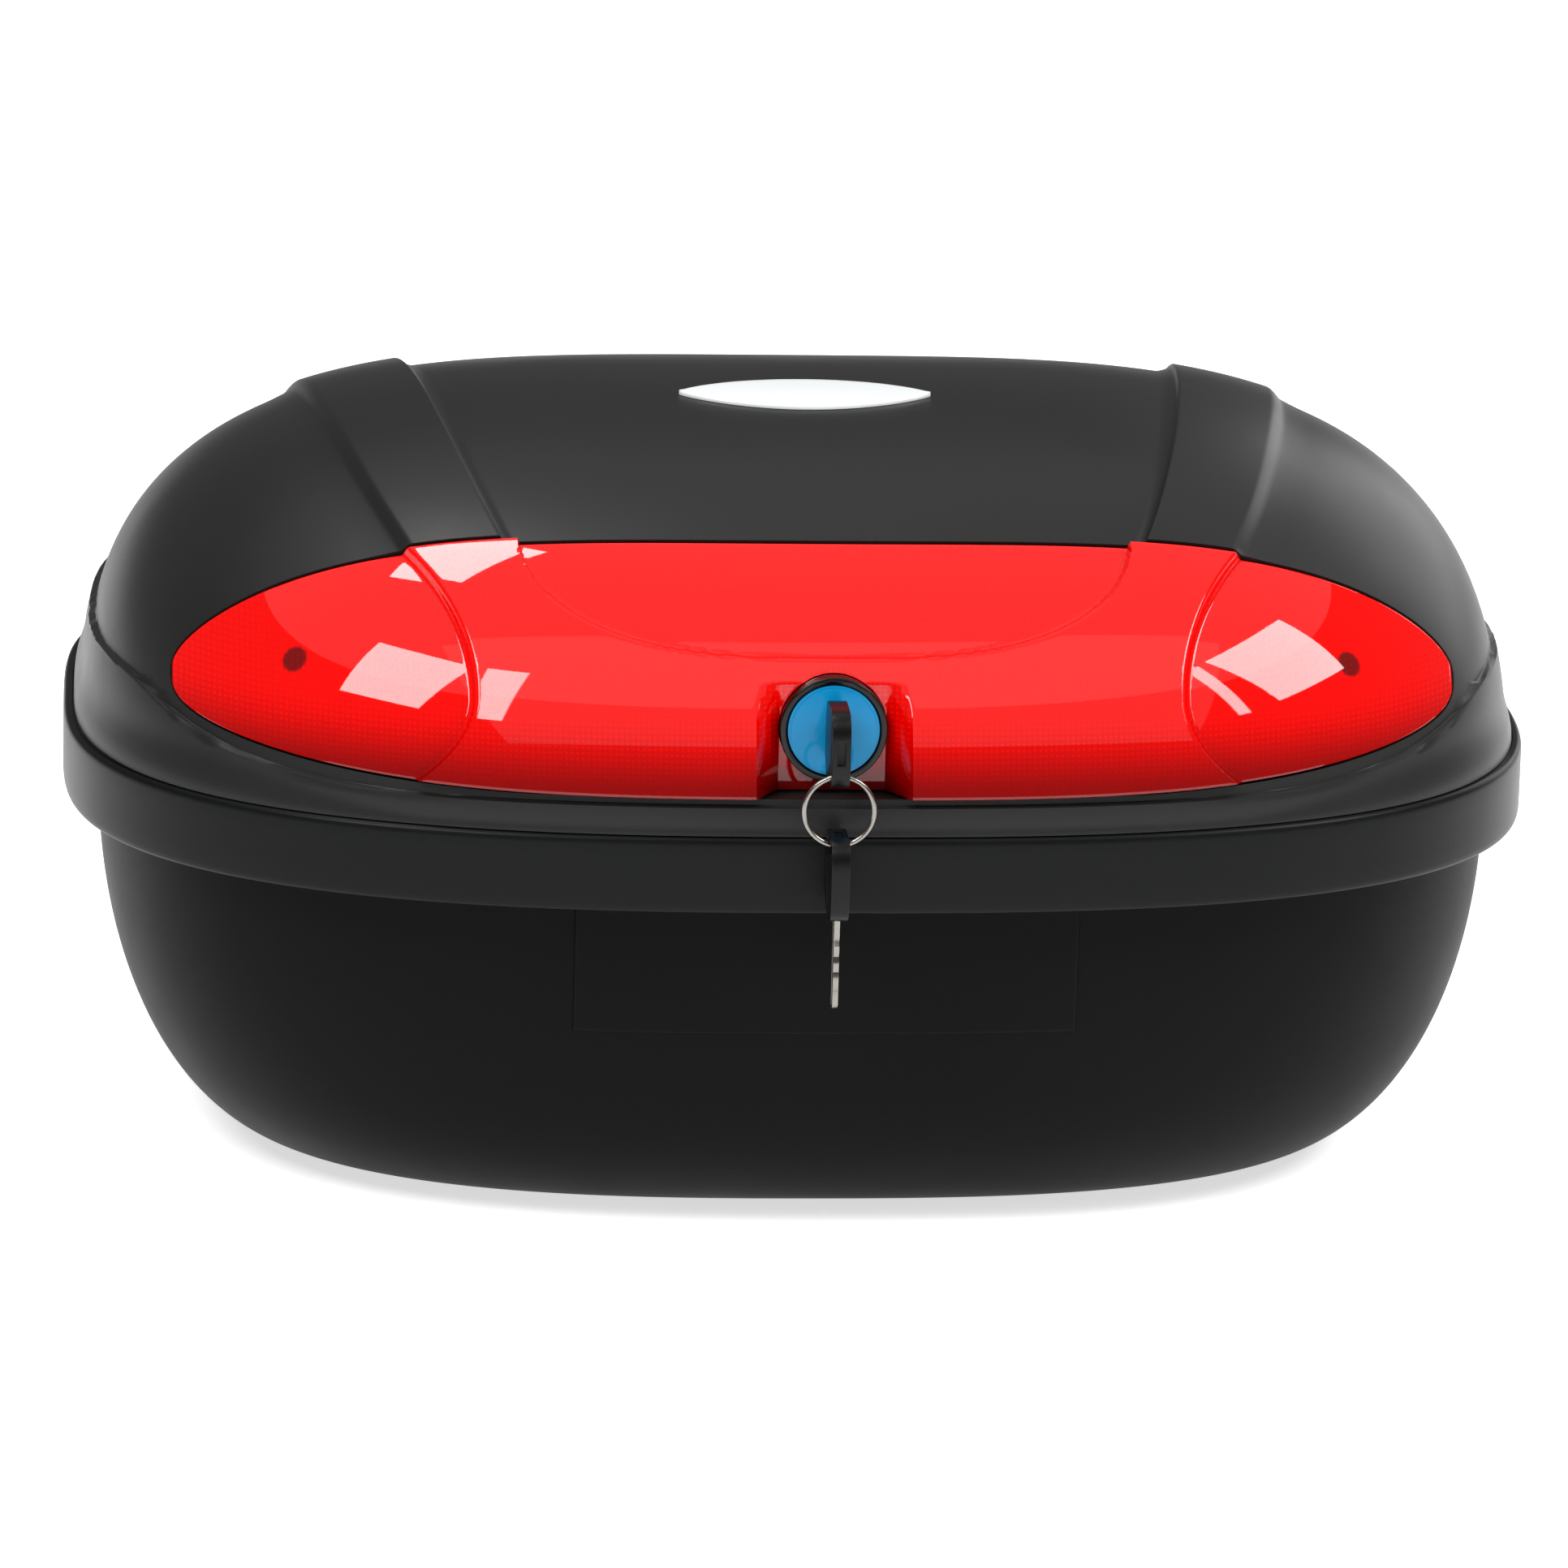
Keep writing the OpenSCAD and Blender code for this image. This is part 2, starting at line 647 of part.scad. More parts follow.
module latch_spring() {
    turns = 2.5;
    color("#c4c6c8") translate([8.6, hook_y, hook_z])
        wire(concat(
            [for (i = [0 : 12 * turns])
                [0.5 + 2.2 * i / (12 * turns), 6 * cos(30 * i + 90), 6 * sin(30 * i + 90)]],
            [[2.8, -6, -12]]
        ), 0.9, [1, 0, 0]);
}

module latch_hook() {
    outline = [
        [-4.4, 2], [-5.6, -8], [-6.4, -20], [-6.4, -29.4], [-13.4, -29.4], [-12.4, -34.4], [0, -34.4],
        [3, -30], [3.6, -14], [4.6, -6], [19, -3.4], [20, -2], [20, 0.4], [4.6, 0.4]
    ];
    color("#5d6063") translate([0, hook_y, hook_z]) difference() {
        rotate([hook_turn, 0, 0]) union() {
            web(outline, -hook_half, hook_half);
            along_x(9.2, -hook_half, hook_half);
        }
        along_x(latch_pin_d + 2 * running_fit, -20, 20);
    }
}

module lock_plug() {
    color("#1296c4") translate([0, 0, lock_z]) difference() {
        union() {
            along_y(face_d, face_y + 1, bezel_y + 3.6, 96);
            along_y(face_d - 2.4, face_y, face_y + 1.1, 96);
            along_y(plug_d, bezel_y + 3, plug_back_y, 64);
        }
        box([-key_slot_w / 2, face_y - 1, -key_slot_h / 2], [key_slot_w / 2, -half_d + 50, key_slot_h / 2]);
        along_y(3, plug_back_y - 8, plug_back_y + 1, 32);
    }
}

module lock_cam() {
    color("#85888b") translate([0, 0, lock_z]) difference() {
        union() {
            along_y(14, plug_back_y, cam_back_y);
            box([0, plug_back_y, -5], [15, cam_back_y, 5]);
            translate([13, 0, 0]) along_y(6, plug_back_y, cam_back_y + 5);
        }
        along_y(3.2, plug_back_y - 1, cam_back_y + 1, 32);
    }
}

module cam_screw() {
    color("#b9bcbe") translate([0, cam_back_y, lock_z]) rotate([0, 0, 180]) pan_screw(3, 10);
}

// ---------- keys ----------
// A key along -Y from its shoulder at the origin: a head with a slot for the ring, then the blade towards +Y
module key_head_shape() {
    mid = -head_l / 2;
    end = ring_slot_half - ring_slot_r;
    outline = [for (a = [0 : 10 : 350])
        let (r = pow(pow(abs(cos(a)) / (head_l / 2), 4) + pow(abs(sin(a)) / (head_w / 2), 4), -0.25))
        [mid + r * cos(a), r * sin(a)]];
    difference() {
        web(outline, -head_t / 2, head_t / 2);
        translate([0, 5 - head_l, 0]) {
            for (z = [-end, end]) translate([0, 0, z]) along_x(2 * ring_slot_r, -10, 10, 32);
            box([-10, -ring_slot_r, -end], [10, ring_slot_r, end]);
        }
        box([-1.5, -head_l - 1, -4.5], [1.5, -head_l + 1.4, 4.5]);
        box([-1.3, -8, -4.1], [1.3, 1, 4.1]);
    }
}

module key_blade_shape() {
    difference() {
        union() {
            box([-1.1, -7.9, -4], [1.1, 4, 4]);
            box([-1.1, 0, -3.8], [1.1, blade_l - 2, 3.8]);
            web([[blade_l - 2, -3.8], [blade_l, -1], [blade_l, 1], [blade_l - 2, 3.8]], -1.1, 1.1);
        }
        for (y = [9, 15, 21, 27]) web([[y - 2, -4], [y, -2.2 - 0.05 * y], [y + 2, -4]], -2, 2);
        for (s = [-1, 1]) box([s < 0 ? -1.2 : 0.6, 2, 0.6], [s < 0 ? -0.6 : 1.2, blade_l + 1, 1.8]);
    }
}

module key_place() {
    translate([0, head_y, lock_z]) children();
}

module spare_place() {
    translate([0, ring_y, spare_end_z - head_l]) rotate([-90, 0, 0]) children();
}

module key_head() {
    color("#232325") key_place() key_head_shape();
}

module key_blade() {
    color("#b6b9bb") key_place() key_blade_shape();
}

module spare_key_head() {
    color("#232325") spare_place() key_head_shape();
}

module spare_key_blade() {
    color("#b6b9bb") spare_place() key_blade_shape();
}

module key_ring() {
    color("#c8cacc") translate([0, ring_y, ring_z]) rotate([90, 0, 0])
        rotate_extrude($fn = 96) translate([ring_d / 2, 0]) circle(d = ring_wire, $fn = 24);
}

tub_shell();
rim_band();
rim_seal();
hinge_bracket(-1);  // hinge_bracket_left
hinge_bracket(1);  // hinge_bracket_right
hinge_pin(-1);  // hinge_pin_left
hinge_pin(1);  // hinge_pin_right
hinge_screws(band_pad_y + leaf_t, lower_screw_z);  // hinge_screws_lower
striker();
striker_screws();
mounting_plate();
release_housing();
release_screws();
release_tongue();
release_spring();
lid_shell();
lens();
lens_reflector();
lens_screws();
lid_badge();
hinge_leaf(-1);  // hinge_leaf_left
hinge_leaf(1);  // hinge_leaf_right
hinge_screws(lid_pad_y + leaf_t, upper_screw_z);  // hinge_screws_upper
lock_body();
lock_nut();
latch_bracket();
latch_pin();
latch_spring();
latch_hook();
lock_plug();
lock_cam();
cam_screw();
key_head();
key_blade();
key_ring();
spare_key_head();
spare_key_blade();
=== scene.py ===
"""A motorcycle top case: moulded tub, band and domed lid, red rear lens, lock, keys and mounting plate."""

import json
import math

import bmesh
import bpy
import numpy as np
from bpy.props import FloatProperty, FloatVectorProperty, PointerProperty
from mathutils import Matrix, Vector

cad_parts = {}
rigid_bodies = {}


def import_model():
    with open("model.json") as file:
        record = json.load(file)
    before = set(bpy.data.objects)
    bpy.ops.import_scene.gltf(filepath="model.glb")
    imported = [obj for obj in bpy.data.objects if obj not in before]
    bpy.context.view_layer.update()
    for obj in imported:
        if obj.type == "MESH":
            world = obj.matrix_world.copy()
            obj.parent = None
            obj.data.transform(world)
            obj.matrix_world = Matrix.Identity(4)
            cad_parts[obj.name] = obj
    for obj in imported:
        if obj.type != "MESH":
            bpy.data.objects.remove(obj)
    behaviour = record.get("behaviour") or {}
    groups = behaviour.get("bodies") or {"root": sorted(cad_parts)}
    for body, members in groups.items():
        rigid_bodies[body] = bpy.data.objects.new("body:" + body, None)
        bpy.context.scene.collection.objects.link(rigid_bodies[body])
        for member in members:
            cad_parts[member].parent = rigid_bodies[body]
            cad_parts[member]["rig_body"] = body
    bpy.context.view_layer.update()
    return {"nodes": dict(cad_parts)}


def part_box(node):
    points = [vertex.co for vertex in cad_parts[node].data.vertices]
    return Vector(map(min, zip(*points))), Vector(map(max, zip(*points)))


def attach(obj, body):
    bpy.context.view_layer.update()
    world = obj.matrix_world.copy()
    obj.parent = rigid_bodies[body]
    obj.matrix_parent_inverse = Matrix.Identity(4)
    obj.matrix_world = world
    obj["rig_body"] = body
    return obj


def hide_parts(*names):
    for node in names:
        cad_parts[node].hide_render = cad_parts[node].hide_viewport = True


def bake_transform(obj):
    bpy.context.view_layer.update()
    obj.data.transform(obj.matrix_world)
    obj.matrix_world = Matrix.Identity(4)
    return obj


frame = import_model()

bl_info = {
    "name": "Top case",
    "version": (1, 0, 0),
    "blender": (4, 5, 0),
    "location": "3D View > Sidebar > Top case",
    "description": "Builds a motorcycle top case round its packed frame",
    "category": "Object",
}

# Sizes in millimetres, taken from the frame. The formulas below work in millimetres too.
BAND_LOW, BAND_HIGH = (1000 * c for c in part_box("rim_band"))
HALF_W = BAND_HIGH.x
HALF_D = -BAND_LOW.y
BAND_Z = BAND_LOW.z
BAND_TOP = BAND_HIGH.z
TUB_TOP = 1000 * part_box("tub_shell")[1].z
LID_Z = 1000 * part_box("lid_shell")[0].z
LID_H = 1000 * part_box("lid_shell")[1].z - LID_Z
FACE_Y = 1000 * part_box("lock_plug")[0].y
LOCK_Z = 500 * (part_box("lock_plug")[0].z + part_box("lock_plug")[1].z)
HINGE_X = 500 * (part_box("hinge_leaf_right")[0].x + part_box("hinge_leaf_right")[1].x)
HINGE_Z = 500 * (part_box("hinge_pin_right")[0].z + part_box("hinge_pin_right")[1].z)
BADGE_LOW, BADGE_HIGH = (1000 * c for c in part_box("lid_badge"))
PLATE_HIGH = 1000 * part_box("mounting_plate")[1]
RING_LOW, RING_HIGH = (1000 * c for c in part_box("key_ring"))

# The plan is rounder at the lens side than at the hinge side
FRONT_N, BACK_N = 2.67, 3.6
DOME_A, DOME_B = HALF_W - 9.5, HALF_D - 4
CREST_N, CREST_M = 3.92, 2.26
TUB_A = (200.0, HALF_W - 14)
TUB_FRONT_B = (120.0, HALF_D - 14)
TUB_BACK_B = (165.0, HALF_D - 14)
LENS_MID = 27.0
POCKET_Y, POCKET_HALF, POCKET_RUN = -HALF_D + 19, 20.5, 9.0
SEAT_Y = POCKET_Y + 6


# ---------- shapes shared by the shells ----------
def ramp(t):
    c = np.clip(t, 0.0, 1.0)
    return c * c * (3 - 2 * c)


def bulge(u, n, m):
    return np.maximum(0.0, 1 - np.minimum(1.0, np.abs(u)) ** n) ** (1 / m)


def turn(count):
    """Angles once round, without the last."""
    return np.linspace(0, 2 * np.pi, count, endpoint=False)


def outline(th, a, b_front, b_back, z):
    """The plan curve at height z, one point per angle."""
    front = np.sin(th) < 0
    n, b = np.where(front, FRONT_N, BACK_N), np.where(front, b_front, b_back)
    r = (np.abs(np.cos(th) / a) ** n + np.abs(np.sin(th) / b) ** n) ** (-1 / n)
    return np.stack([r * np.cos(th), r * np.sin(th), np.full_like(th, z)], -1)


def rounded_box(th, half_x, half_y, radius, centre_y, z):
    """A rectangle with round corners, one point per angle."""
    c, s = np.cos(th), np.sin(th)
    r = np.minimum(half_x / np.maximum(1e-9, np.abs(c)), half_y / np.maximum(1e-9, np.abs(s)))
    x, y = r * c, r * s
    kx, ky = half_x - radius, half_y - radius
    corner = (np.abs(x) > kx) & (np.abs(y) > ky)
    b = np.abs(c) * kx + np.abs(s) * ky
    reach = b + np.sqrt(np.maximum(0.0, b * b - kx * kx - ky * ky + radius * radius))
    r = np.where(corner, reach, r)
    return np.stack([r * c, r * s + centre_y, np.full_like(th, z)], -1)


def dome(x, ph):
    """The smooth dome: x across, ph in degrees from the front rim over the crest to the back rim."""
    x, ph = np.broadcast_arrays(np.asarray(x, float), np.asarray(ph, float))
    u = x / DOME_A
    depth = np.where(ph < 90, bulge(u, FRONT_N, FRONT_N), bulge(u, BACK_N, BACK_N))
    rise = LID_H * bulge(u, CREST_N, CREST_M)
    p = np.radians(ph)
    return np.stack([x, -DOME_B * depth * np.cos(p), LID_Z + rise * np.sin(p)], -1)


def dome_normal(x, ph):
    x, ph = np.broadcast_arrays(np.asarray(x, float), np.asarray(ph, float))
    x = np.clip(x, 0.04 - DOME_A, DOME_A - 0.04)
    n = np.cross(dome(x + 0.02, ph) - dome(x - 0.02, ph), dome(x, ph + 0.2) - dome(x, ph - 0.2))
    return n / np.linalg.norm(n, axis=-1, keepdims=True)


def off_dome(x, ph, lift):
    return dome(x, ph) + dome_normal(x, ph) * np.asarray(lift)[..., None]


def ridge_in(ph):
    return 124 + 42 * (1 - np.exp(-np.maximum(0, ph - 47) / 40))


def ridge_out(ph):
    return 163 + 48 * (1 - np.exp(-np.maximum(0, ph - 46) / 38))


def line_x(v, ph):
    """Lines that follow the ridges: v = 1 is a ridge's inner edge, 2 its outer edge and 3 the rim."""
    w, xi, xo = np.abs(v), ridge_in(ph), ridge_out(ph)
    rim = xo + (DOME_A - xo) * (1 - np.maximum(0, 3 - w) ** 2.2)
    return np.sign(v) * np.where(w < 1, w * xi, np.where(w < 2, xi + (w - 1) * (xo - xi), rim))


def line_at(x):
    """The line that passes x on the lens's centre line, where x is outside the ridges."""
    return 3 - (1 - (x - 163) / (DOME_A - 163)) ** (1 / 2.2)


def ridge_lift(v, ph, height):
    w = np.abs(v)
    across = ramp((w - 0.965) / 0.07) * ramp((2.06 - w) / 0.2)
    return height * across * ramp((ph - 30) / 10) * ramp((170 - ph) / 25)


def crease_z(y):
    return LID_Z + 11.6 + 23 * ramp((y + 200) / 120)


def crease_angle(x):
    u = x / DOME_A
    y = -DOME_B * bulge(u, FRONT_N, FRONT_N) * 0.98
    rise = np.maximum(1, LID_H * bulge(u, CREST_N, CREST_M))
    return np.degrees(np.arcsin(np.minimum(0.985, (crease_z(y) - LID_Z) / rise)))


def skirt_lift(p, height):
    """How far the skirt stands out: a step under the crease, and a foot that flares towards the band."""
    up = p[..., 2] - LID_Z
    step = ramp((crease_z(p[..., 1]) - p[..., 2]) / 1.2)
    side = ramp((np.abs(p[..., 0]) - 150) / 110)
    foot = ramp(1 - up / (3 + 14 * side)) * (0.4 + 2.4 * side)
    return height * step + foot


def lens_low(x, half):
    return LENS_MID - 21.5 * bulge(x / half, 4, 2.69)


def lens_high(x, half):
    return LENS_MID + 20.5 * bulge(x / half, 4, 2.3)


def lens_lift(x, ph, height):
    """The raised band on the lens, round a lower middle panel."""
    smile = 47.5 - 19.7 * bulge(x / 118, 3, 2)
    side = 136 + np.where(ph > 21, 24 * ((ph - 21) / 24) ** 2, 7 * ((21 - ph) / 8) ** 2)
    middle = ramp((ph - smile) / 1.5 + 0.5) * (np.abs(x) < 118)
    return height * (1 - middle) * ramp((side - np.abs(x)) / 4.5 + 0.5)


# ---------- meshes ----------
def skin(grid, around=False, loop=False, caps=False):
    """Quads over a grid of points in millimetres.

    around joins the columns, loop joins the rows and caps close the ends.
    """
    rows, cols = grid.shape[:2]
    index = np.arange(rows * cols).reshape(rows, cols)
    if loop:
        index = np.vstack([index, index[:1]])
    if around:
        index = np.hstack([index, index[:, :1]])
    quads = np.stack([index[:-1, :-1], index[:-1, 1:], index[1:, 1:], index[1:, :-1]], -1).reshape(-1, 4)
    faces = [tuple(int(i) for i in q) for q in quads]
    if caps:
        faces += [tuple(range(cols)), tuple(range((rows - 1) * cols, rows * cols))]
    return grid.reshape(-1, 3) * 0.001, faces


def joined(*parts):
    """Several skins as one list of points and faces."""
    points, faces, start = [], [], 0
    for p, f in parts:
        points.append(p)
        faces += [tuple(i + start for i in face) for face in f]
        start += len(p)
    return np.vstack(points), faces


def piece(name, shape, body, nodes, material, sharp=38.0):
    """One piece: its mesh with outward faces, its body, its CAD nodes and its material.

    The mesh is smooth except at edges sharper than sharp, in degrees.
    """
    mesh = bpy.data.meshes.new(name)
    mesh.from_pydata(shape[0].tolist(), [], shape[1])
    bm = bmesh.new()
    bm.from_mesh(mesh)
    bmesh.ops.recalc_face_normals(bm, faces=bm.faces)
    bm.to_mesh(mesh)
    bm.free()
    return placed(name, mesh, body, nodes, material, sharp)


def placed(name, mesh, body, nodes, material, sharp=38.0):
    mesh.polygons.foreach_set("use_smooth", [True] * len(mesh.polygons))
    mesh.set_sharp_from_angle(angle=math.radians(sharp))
    mesh.materials.clear()
    mesh.materials.append(material[0])
    made = bpy.data.objects.new(name, mesh)
    bpy.context.scene.collection.objects.link(made)
    if body:
        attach(made, body)
    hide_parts(*nodes)
    return made


def softened(node, width, material, segments=2):
    """A finer copy of a CAD node, with its hard edges rounded to width in millimetres."""
    mesh = frame["nodes"][node].data.copy()
    bm = bmesh.new()
    bm.from_mesh(mesh)
    bmesh.ops.remove_doubles(bm, verts=bm.verts, dist=1e-6)
    bmesh.ops.dissolve_limit(bm, angle_limit=math.radians(1.0), verts=bm.verts, edges=bm.edges)
    bmesh.ops.recalc_face_normals(bm, faces=bm.faces)
    bm.to_mesh(mesh)
    bm.free()
    blank = bpy.data.objects.new(node + "_blank", mesh)
    bpy.context.scene.collection.objects.link(blank)
    rounding = blank.modifiers.new("edges", "BEVEL")
    rounding.width = width * 0.001
    rounding.segments = segments
    rounding.limit_method = "ANGLE"
    rounding.angle_limit = math.radians(32)
    rounding.harden_normals = False
    bpy.context.view_layer.update()
    seen = blank.evaluated_get(bpy.context.evaluated_depsgraph_get())
    final = bpy.data.meshes.new_from_object(seen)
    bpy.data.objects.remove(blank)
    body = frame["nodes"][node]["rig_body"]
    return placed(node + "_fine", final, body, [node], material)


# ---------- materials ----------
def linear(code):
    """An sRGB hex colour as linear RGBA."""
    parts = [int(code[i : i + 2], 16) / 255 for i in (1, 3, 5)]
    return tuple(c / 12.92 if c <= 0.04045 else ((c + 0.055) / 1.055) ** 2.4 for c in parts) + (1.0,)


def add(tree, kind, settings=None, links=None):
    """A node with its settings, and its inputs set to values or linked to other nodes' outputs."""
    made = tree.nodes.new(kind)
    for key, value in (settings or {}).items():
        setattr(made, key, value)
    for key, value in (links or {}).items():
        if isinstance(value, bpy.types.NodeSocket):
            tree.links.new(value, made.inputs[key])
        else:
            made.inputs[key].default_value = value
    return made


def blank_material(name):
    made = bpy.data.materials.new(name)
    made.use_nodes = True
    made.node_tree.nodes.clear()
    return made, made.node_tree


def grained(name, dark, light, rough, grain_mm, depth, shader):
    """A moulded or finished surface: a colour and a roughness that drift a little, and a fine grain."""
    made, tree = blank_material(name)
    place = add(tree, "ShaderNodeTexCoord").outputs["Object"]
    drift = add(tree, "ShaderNodeTexNoise", {}, {"Vector": place, "Scale": 14.0, "Detail": 4.0})
    grain = add(tree, "ShaderNodeTexNoise", {}, {"Vector": place, "Scale": 1000 / grain_mm, "Detail": 2.0})
    colour = add(tree, "ShaderNodeMix", {"data_type": "RGBA"}, {"Factor": drift.outputs["Fac"]})
    colour.inputs[6].default_value, colour.inputs[7].default_value = linear(dark), linear(light)
    gloss = add(
        tree,
        "ShaderNodeMapRange",
        {},
        {
            "Value": drift.outputs["Fac"],
            "From Min": 0.3,
            "From Max": 0.7,
            "To Min": rough[0],
            "To Max": rough[1],
        },
    )
    height = grain.outputs["Fac"]
    bump = add(tree, "ShaderNodeBump", {}, {"Strength": depth, "Distance": 0.0002, "Height": height})
    inputs = {
        "Base Color": colour.outputs[2],
        "Roughness": gloss.outputs["Result"],
        "Normal": bump.outputs["Normal"],
    }
    inputs.update(shader)
    body = add(tree, "ShaderNodeBsdfPrincipled", {}, inputs)
    add(tree, "ShaderNodeOutputMaterial", {}, {"Surface": body.outputs["BSDF"]})
    return made


def brushed(name, dark, light, rough, line_mm, along, shader):
    """A metal with fine lines along one axis."""
    made, tree = blank_material(name)
    place = add(tree, "ShaderNodeTexCoord").outputs["Object"]
    stretch = [1000 / line_mm] * 3
    stretch[along] = 1000 / (line_mm * 30)
    lines = add(tree, "ShaderNodeMapping", {}, {"Vector": place, "Scale": stretch})
    along_lines = lines.outputs["Vector"]
    noise = add(tree, "ShaderNodeTexNoise", {}, {"Vector": along_lines, "Scale": 1.0, "Detail": 3.0})
    colour = add(tree, "ShaderNodeMix", {"data_type": "RGBA"}, {"Factor": noise.outputs["Fac"]})
    colour.inputs[6].default_value, colour.inputs[7].default_value = linear(dark), linear(light)
    gloss = add(
        tree,
        "ShaderNodeMapRange",
        {},
        {
            "Value": noise.outputs["Fac"],
            "From Min": 0.3,
            "From Max": 0.7,
            "To Min": rough[0],
            "To Max": rough[1],
        },
    )
    height = noise.outputs["Fac"]
    bump = add(tree, "ShaderNodeBump", {}, {"Strength": 0.15, "Distance": 0.0001, "Height": height})
    inputs = {
        "Base Color": colour.outputs[2],
        "Roughness": gloss.outputs["Result"],
        "Normal": bump.outputs["Normal"],
        "Metallic": 1.0,
    }
    inputs.update(shader)
    body = add(tree, "ShaderNodeBsdfPrincipled", {}, inputs)
    add(tree, "ShaderNodeOutputMaterial", {}, {"Surface": body.outputs["BSDF"]})
    return made


def lid_abs():
    # ABS, moulded in a satin tool: even charcoal with broad soft highlights. The 1.5 mm grain is drawn coarse
    # to show.
    shader = {"Specular IOR Level": 0.25}
    return grained("abs_satin_charcoal", "#1b1b1b", "#1e1e1d", (0.34, 0.4), 1.5, 0.1, shader), "lid_plastic"


def tub_abs():
    # ABS, moulded in a finely etched tool: near black, and duller than the lid
    shader = {"Specular IOR Level": 0.07}
    return grained("abs_etched_black", "#060607", "#080809", (0.44, 0.52), 1.2, 0.15, shader), "tub_plastic"


def band_pp():
    # Polypropylene, moulded: near black with a faint waxy sheen
    shader = {"Specular IOR Level": 0.12}
    return grained("polypropylene_moulded", "#0b0c0c", "#0d0e0e", (0.32, 0.38), 1.2, 0.1, shader), "band_plastic"


def seal_epdm():
    # EPDM, extruded: flat black, almost no gloss
    return grained("epdm_extruded", "#0b0b0b", "#0f0f0f", (0.7, 0.8), 0.8, 0.3, {"IOR": 1.5}), "seal_rubber"


def nylon_black(slot_name):
    # Glass-filled nylon, moulded: dull black with a slightly fibrous grain
    shader = {"IOR": 1.53}
    return grained("nylon_glass_filled", "#101011", "#171718", (0.48, 0.62), 0.9, 0.35, shader), slot_name


def nylon_red():
    # Nylon, moulded in red for a lever: saturated, soft gloss
    shader = {"IOR": 1.53}
    return grained("nylon_moulded_red", "#a31810", "#b51f15", (0.35, 0.45), 0.9, 0.2, shader), "release_plastic"


def lock_nylon():
    # Nylon, moulded in a polished tool: black with a tight bright rim light
    shader = {"Specular IOR Level": 0.3}
    return grained("nylon_polished_black", "#040405", "#070708", (0.16, 0.22), 1.0, 0.05, shader), "lock_plastic"


def key_abs():
    # ABS, moulded: a black key head rubbed half glossy by fingers
    shader = {"Specular IOR Level": 0.2}
    return grained("abs_handled_black", "#050506", "#09090a", (0.24, 0.36), 1.0, 0.12, shader), "key_plastic"


def badge_abs():
    # ABS, moulded white and lacquered: clean and glossy
    shader = {"IOR": 1.5, "Coat Weight": 0.6, "Coat Roughness": 0.05}
    return grained("abs_lacquered_white", "#e9edee", "#f4f6f6", (0.12, 0.2), 2.0, 0.02, shader), "badge_plastic"


def plated(slot_name):
    # Zinc-plated steel: cool grey with a slightly cloudy plate
    shader = {"Metallic": 1.0}
    return grained("steel_zinc_plated", "#8d9194", "#a9adb0", (0.28, 0.42), 1.5, 0.1, shader), slot_name


def turned(slot_name):
    # Steel, turned: bright, with lines round the work too fine to see singly
    return brushed("steel_turned", "#a2a5a8", "#c2c5c7", (0.2, 0.32), 0.25, 0, {}), slot_name


def spring_wire():
    # Spring steel, drawn: lines along the wire
    return brushed("steel_drawn_wire", "#8c8e90", "#b4b6b8", (0.22, 0.34), 0.3, 2, {}), "spring_steel"


def nickel(slot_name):
    # Nickel plate on brass or steel: warm bright metal with light scratches from handling
    return brushed("nickel_plated", "#77746f", "#98958f", (0.14, 0.26), 0.3, 1, {}), slot_name


def mirror_sheet():
    # Metallised prism sheet: bright, behind the lens
    shader = {"Metallic": 0.9}
    return grained("prism_sheet_metallised", "#b9b6b6", "#cfcccc", (0.15, 0.25), 2.0, 0.4, shader), "reflector_plastic"


def plug_blue(colour):
    """The lock's face."""
    # Zinc casting, painted an even blue under a thin lacquer
    shader = {"Specular IOR Level": 0.1, "Coat Weight": 0.3}
    return grained("zinc_lacquered_blue", colour, colour, (0.3, 0.36), 0.8, 0.15, shader), "plug_plastic"


